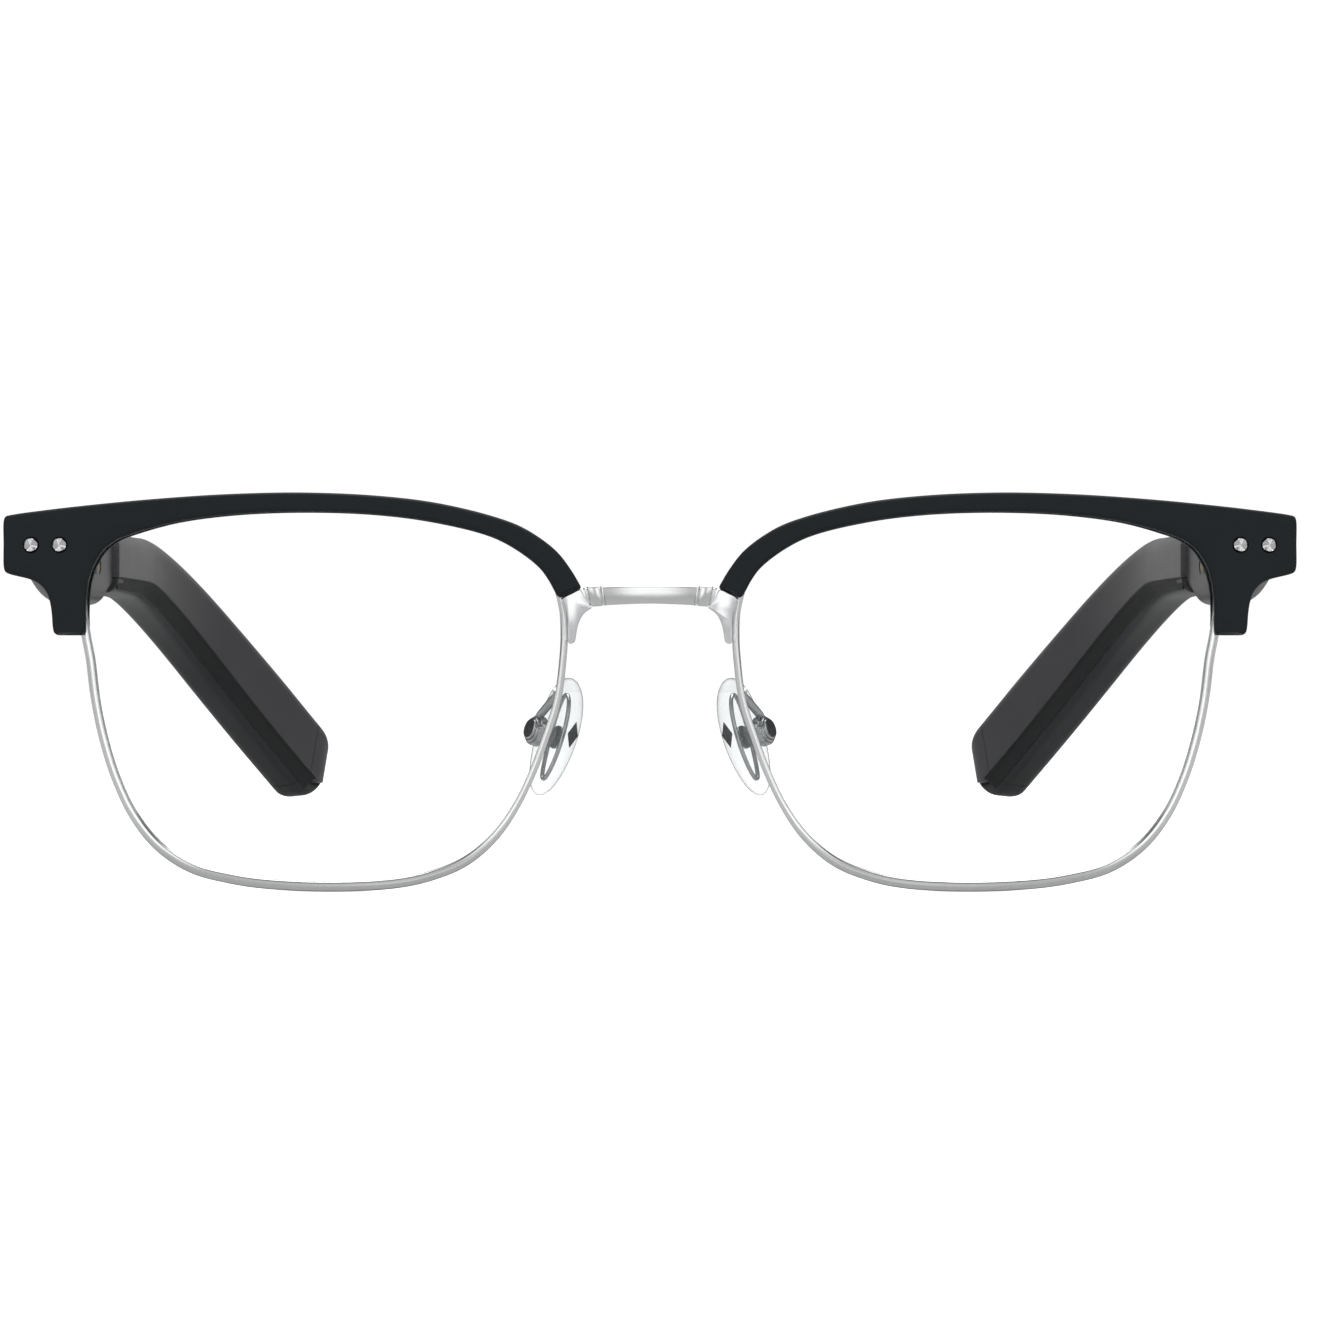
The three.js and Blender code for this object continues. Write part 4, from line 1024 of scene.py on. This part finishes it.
grille = {"x": (68.05, 70.35), "y": (38.75, 45.25), "microphone": (69.2, 33.0, 30.0)}
contact = {"y": (33.0, 37.0), "z": 37.2, "radius": 1.1}
coverScrew = {"y": 21.4, "z": 38.9, "hole": 1.0}
podTools = [
    ("DIFFERENCE", softBlock(grille["x"], grille["y"], (29.0, 35.2), 0.25, 0.25)),
    ("DIFFERENCE", turned(softProfile(0.4, 5.0, 0.02), grille["microphone"], (0, 0, 1), 24)),
]
coverTools = [("DIFFERENCE", turned(softProfile(contact["radius"] + 0.14, 4.0, 0.02),
                                    (pod["inner"] - 2, y, contact["z"]), (1, 0, 0), 40))
              for y in contact["y"]]
screwSpot = (pod["inner"], coverScrew["y"], coverScrew["z"])
coverTools.append(("DIFFERENCE", turned(softProfile(coverScrew["hole"], 4.0, 0.02),
                                        (screwSpot[0] - 2, *screwSpot[1:]), (1, 0, 0), 40)))
addPair("pod_shell", podTray(1), "temple", "temple", ["temple_shell"], tools=podTools)
addPair("pod_cover", podTray(-1), "temple", "temple", ["temple_cover"], tools=coverTools)
for which, y in zip(("front", "rear"), contact["y"]):
    stud = [(0, 0.06), (0.7, 0.0), (1.0, 0.05), (contact["radius"], 0.16), (contact["radius"], 1.6),
            (0, 1.6)]
    place = (pod["inner"] + 0.1, y, contact["z"])
    addPair(f"contact_stud_{which}", turned(stud, place, (1, 0, 0), 40), "contact", "temple",
            [f"charging_contact_{which}"])
screwProfile = [(0, 0.3), (0.3, 0.3), (0.34, 0.05), (0.75, 0.0), (0.85, 0.1), (0.85, 0.5),
                (0.4, 0.5), (0.4, 2.6), (0, 2.6)]
addPair("cover_screw", turned(screwProfile, screwSpot, (1, 0, 0), 40), "hinge", "temple",
        ["temple_screw"])
print("front housings made")


# Ear pieces of the temples
ear = {"start": 50.08, "x": 68.2, "z": 37.8, "bendStart": 87.3, "bendRadius": 53.2, "drop": 31.4,
       "inward": 24.85, "reach": 148.2, "width": (6.9, 6.7), "height": (7.6, 11.0), "corner": 2.1,
       "lowCorner": 1.6, "split": 1.9, "cap": 6.0, "capShort": 0.8, "seam": 0.12, "step": 1.45,
       "rounding": 2.4, "wall": 1.35, "edge": 0.3}
drop, turnIn = math.radians(ear["drop"]), math.radians(ear["inward"])
dropDirection = np.array((-math.sin(turnIn) * math.cos(drop), math.cos(turnIn) * math.cos(drop),
                          -math.sin(drop)))
bendAngle = math.acos(dropDirection[1])
sideStep = unit((dropDirection[0], 0, dropDirection[2]))
bendAxis = np.cross((0, 1, 0), sideStep)
straight = ear["bendStart"] - ear["start"]
bendLength = ear["bendRadius"] * bendAngle
bendEnd = ear["bendStart"] + ear["bendRadius"] * math.sin(bendAngle)
earLength = straight + bendLength + (ear["reach"] - bendEnd) / dropDirection[1]


def earFrame(distance):  # centre, direction to the head and upwards at a distance along the piece
    turn = min(max((distance - straight) / ear["bendRadius"], 0), bendAngle)
    centre = np.array((ear["x"], ear["start"] + min(distance, straight), ear["z"]))
    centre = centre + sideStep * ear["bendRadius"] * (1 - math.cos(turn))
    centre[1] += ear["bendRadius"] * math.sin(turn)
    centre = centre + dropDirection * max(0, distance - straight - bendLength)
    spin = np.array(Matrix.Rotation(turn, 3, bendAxis))
    return centre, spin @ np.array((-1.0, 0, 0)), spin @ np.array((0, 0, 1.0))


def earSize(distance):
    grow = smooth(distance, straight - 10, earLength - 12)
    return (ear["width"][0] + (ear["width"][1] - ear["width"][0]) * grow,
            ear["height"][0] + (ear["height"][1] - ear["height"][0]) * grow)


def stepAt(distance):  # how far the tray stands back from the shell on the head side
    return ear["step"] * (0.10 + 0.90 * float(smooth(distance, 2, 46)))


def earTray(side):
    last = earLength - ear["cap"]
    levels = [0, 0.04, 0.12, 0.3, 1.2] + list(np.linspace(2.4, last - 1.2, 84)) + [last - 0.2, last]
    rings = []
    for distance in levels:
        centre, inward, up = earFrame(distance)
        width, height = earSize(distance)
        ease = max(ear["edge"] - distance, 0)
        inset = ear["edge"] - math.sqrt(max(ear["edge"] ** 2 - ease * ease, 0))
        split = -height / 2 + ear["split"]
        mouth = split if side > 0 else split - ear["seam"]
        depth = (height - ear["split"] if side > 0 else ear["split"] - ear["seam"]) - inset
        shut = side < 0 or distance < 1.0 or distance > last - 1.0
        floor = 0.02 if shut else depth - pod["wall"] + inset
        back = 0.0 if side > 0 else stepAt(distance)
        radius = ear["corner"] if side > 0 else min(ear["lowCorner"], depth - 0.12)
        section = traySection(width - 2 * inset - back, depth, radius, radius, ear["wall"], floor)
        rings.append([centre + inward * (p - back / 2) + up * (mouth - side * q)
                      for p, q in section])
    return skin(rings)


def shadeStrip():  # painted shade: a near-black strip in the step between shell and tray, standing in for the shade there
    rings = []
    for distance in [0.35] + list(np.linspace(1.2, earLength - 4.0, 80)):
        centre, inward, up = earFrame(distance)
        width, height = earSize(distance)
        deep = stepAt(distance)
        top, low, side = -height / 2 + ear["split"] - 0.02, -height / 2 + 0.42, width / 2
        outline = [(side - 0.10, top), (side - 0.13, top - 0.10)]
        for share in np.linspace(0.12, 1, 7):
            outline.append((side - 0.13 - (deep - 0.05) * share ** 0.8,
                            top - 0.10 - (top - low - 0.10) * share ** 1.6))
        outline += [(side - deep - 0.25, low), (side - deep - 0.25, top)]
        rings.append([centre + inward * u + up * v for u, v in outline])
    return skin(rings)


def capShape(side):  # 1 is the part behind the shell, -1 the part behind the tray
    start = earLength - ear["cap"] + ear["seam"]
    last, most = earLength - ear["capShort"], ear["rounding"]
    rows = [(start, 0.08), (start + 0.06, 0.0)]
    rows += [(start + s, 0.0) for s in np.linspace(0.4, last - start - 1.3 * most - 0.2, 6)]
    for k in range(1, 13):
        angle = k / 12 * math.pi / 2
        rows.append((last - 1.3 * most * (1 - math.sin(angle)), most * (1 - math.cos(angle))))
    rings = []
    for distance, inset in rows:
        centre, inward, up = earFrame(distance)
        width, height = earSize(distance)
        topInset, innerInset = inset * 0.45, inset * 0.35
        split = -height / 2 + ear["split"] + inset * 0.85 - (ear["seam"] if side < 0 else 0.0)
        back = stepAt(distance) * (1 - inset / most) if side < 0 else 0.0
        left, right = -width / 2 + inset, width / 2 - innerInset - back
        level = height / 2 - topInset if side > 0 else -height / 2 + inset
        radius = min(ear["corner"] if side > 0 else ear["lowCorner"] + inset * 0.5,
                     abs(level - split) - 0.1, (right - left) / 2 - 0.05)
        outline = [(left, split), (right, split)]
        for cx, quarter in ((right - radius, 0), (left + radius, 1)):
            for k in range(13):
                angle = (quarter + k / 12) * math.pi / 2
                outline.append((cx + math.cos(angle) * radius,
                                level + side * (math.sin(angle) * radius - radius)))
        rings.append([centre + inward * u + up * v for u, v in outline])
    return skin(rings)


addPair("ear_shell", earTray(1), "temple", "temple", ["ear_piece_shell"], crease=38)
# the tray and the lower cap take the darker painted-shade copy of the temple plastic
addPair("ear_tray", earTray(-1), "templeShadedLow", "temple", ["ear_piece_cover"], crease=38)
# painted shade: a near-black strip laid in the step between shell and tray
addPair("ear_seal", shadeStrip(), "insertAndShade", "temple", crease=38)
addPair("ear_cap", capShape(1), "temple", "temple", ["ear_piece_end_cap"], crease=38)
addPair("ear_cap_low", capShape(-1), "templeShadedLow", "temple", crease=38)
print("ear pieces made")


# The parts inside the temples keep the CAD's shapes
kept = {"circuit_board": "board", "touch_flex": "flex", "microphone": "speaker",
        "speaker": "speaker", "speaker_grille": "grille", "battery": "battery"}
for name, finish in kept.items():
    for side in ("right", "left"):
        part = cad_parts[f"{name}_{side}"]
        part.data.materials.clear()
        part.data.materials.append(finishes[finish])
print("inner parts dressed:", 2 * len(kept))


# Floor, backdrop and light
studio = {"floor": 6.0, "glow": 0.92, "bounce": 0.02, "topPower": 3.0, "topSize": (0.7, 0.7),
          "topHeight": 0.75, "sidePower": 0.7, "sideSize": (0.35, 0.5), "side": (0.7, -0.25, 0.35)}
floorMesh = bpy.data.meshes.new("studio_floor")
half = studio["floor"] / 2
floorMesh.from_pydata([(-half, -half, 0), (half, -half, 0), (half, half, 0), (-half, half, 0)], [],
                      [(0, 1, 2, 3)])
floorObject = bpy.data.objects.new("studio_floor", floorMesh)
scene.collection.objects.link(floorObject)
floorFinish, recipe = newFinish("pale_floor")
mottle = recipe.noise(recipe.place(), 8.0, 2.0)
seenFloor = recipe.node("ShaderNodeLightPath", output=0)
glowLevel = seenFloor * (studio["glow"] - studio["bounce"]) + studio["bounce"]
recipe.end(recipe.plain({
    "Base Color": recipe.tint(mottle, colour(0.55, 0.55, 0.55), colour(0.57, 0.57, 0.57)),
    "Roughness": 0.9 + mottle * 0.05,
    "Specular IOR Level": 0.1,
    "Emission Color": recipe.tint(glowLevel, colour(0.0, 0.0, 0.0), colour(1.0, 1.0, 1.0)),
    "Emission Strength": 1.0,
}))
floorMesh.materials.append(floorFinish)

world = bpy.data.worlds.new("studio")
scene.world = world
world.use_nodes = True
recipe = Recipe(world.node_tree)
direction = recipe.node("ShaderNodeTexCoord", output=0)
turnAway = recipe.node("ShaderNodeMath", {"operation": "ARCTAN2"}, [
    recipe.axis(direction, 0), 0 - recipe.axis(direction, 1)])
turnAway = turnAway.math("ABSOLUTE", turnAway) / math.pi
bands = recipe.node("ShaderNodeValToRGB", {"stops": [
    (0.0, 1.0), (0.05, 1.0), (0.075, 0.36), (0.105, 0.36), (0.135, 1.0), (0.22, 0.85),
    (0.29, 0.06), (0.52, 0.03), (0.70, 0.06), (0.85, 0.30), (1.0, 0.45),
]}, [turnAway])
height = recipe.axis(direction, 2)
lift = recipe.step(height, 0.72, 0.93)
steep = recipe.step(height, 0.30, 0.62)
glow = bands * (1 - steep * 0.9) * 1.25 + lift
seenWhite = recipe.node("ShaderNodeLightPath", output=0)
strength = glow * (1 - seenWhite) + seenWhite * 1.05
recipe.node("ShaderNodeOutputWorld", None, [recipe.node("ShaderNodeBackground", None, {
    "Color": colour(1.0, 1.0, 1.0), "Strength": strength})])


def addLight(name, place, aim, size, power):
    light = bpy.data.lights.new(name, "AREA")
    light.shape = "RECTANGLE"
    light.size, light.size_y = size
    light.energy = power
    lamp = bpy.data.objects.new(name, light)
    lamp.location = place
    toward = Vector(aim) - Vector(place)
    lamp.rotation_euler = toward.to_track_quat("-Z", "Y").to_euler()
    scene.collection.objects.link(lamp)


addLight("top_softbox", (0, 0, studio["topHeight"]), (0, 0, 0), studio["topSize"],
         studio["topPower"])
for side, sign in (("left", -1), ("right", 1)):
    place = (sign * studio["side"][0], *studio["side"][1:])
    addLight(f"side_softbox_{side}", place, (0, 0, 0.02), studio["sideSize"], studio["sidePower"])
print("floor and light made")

bpy.context.view_layer.update()
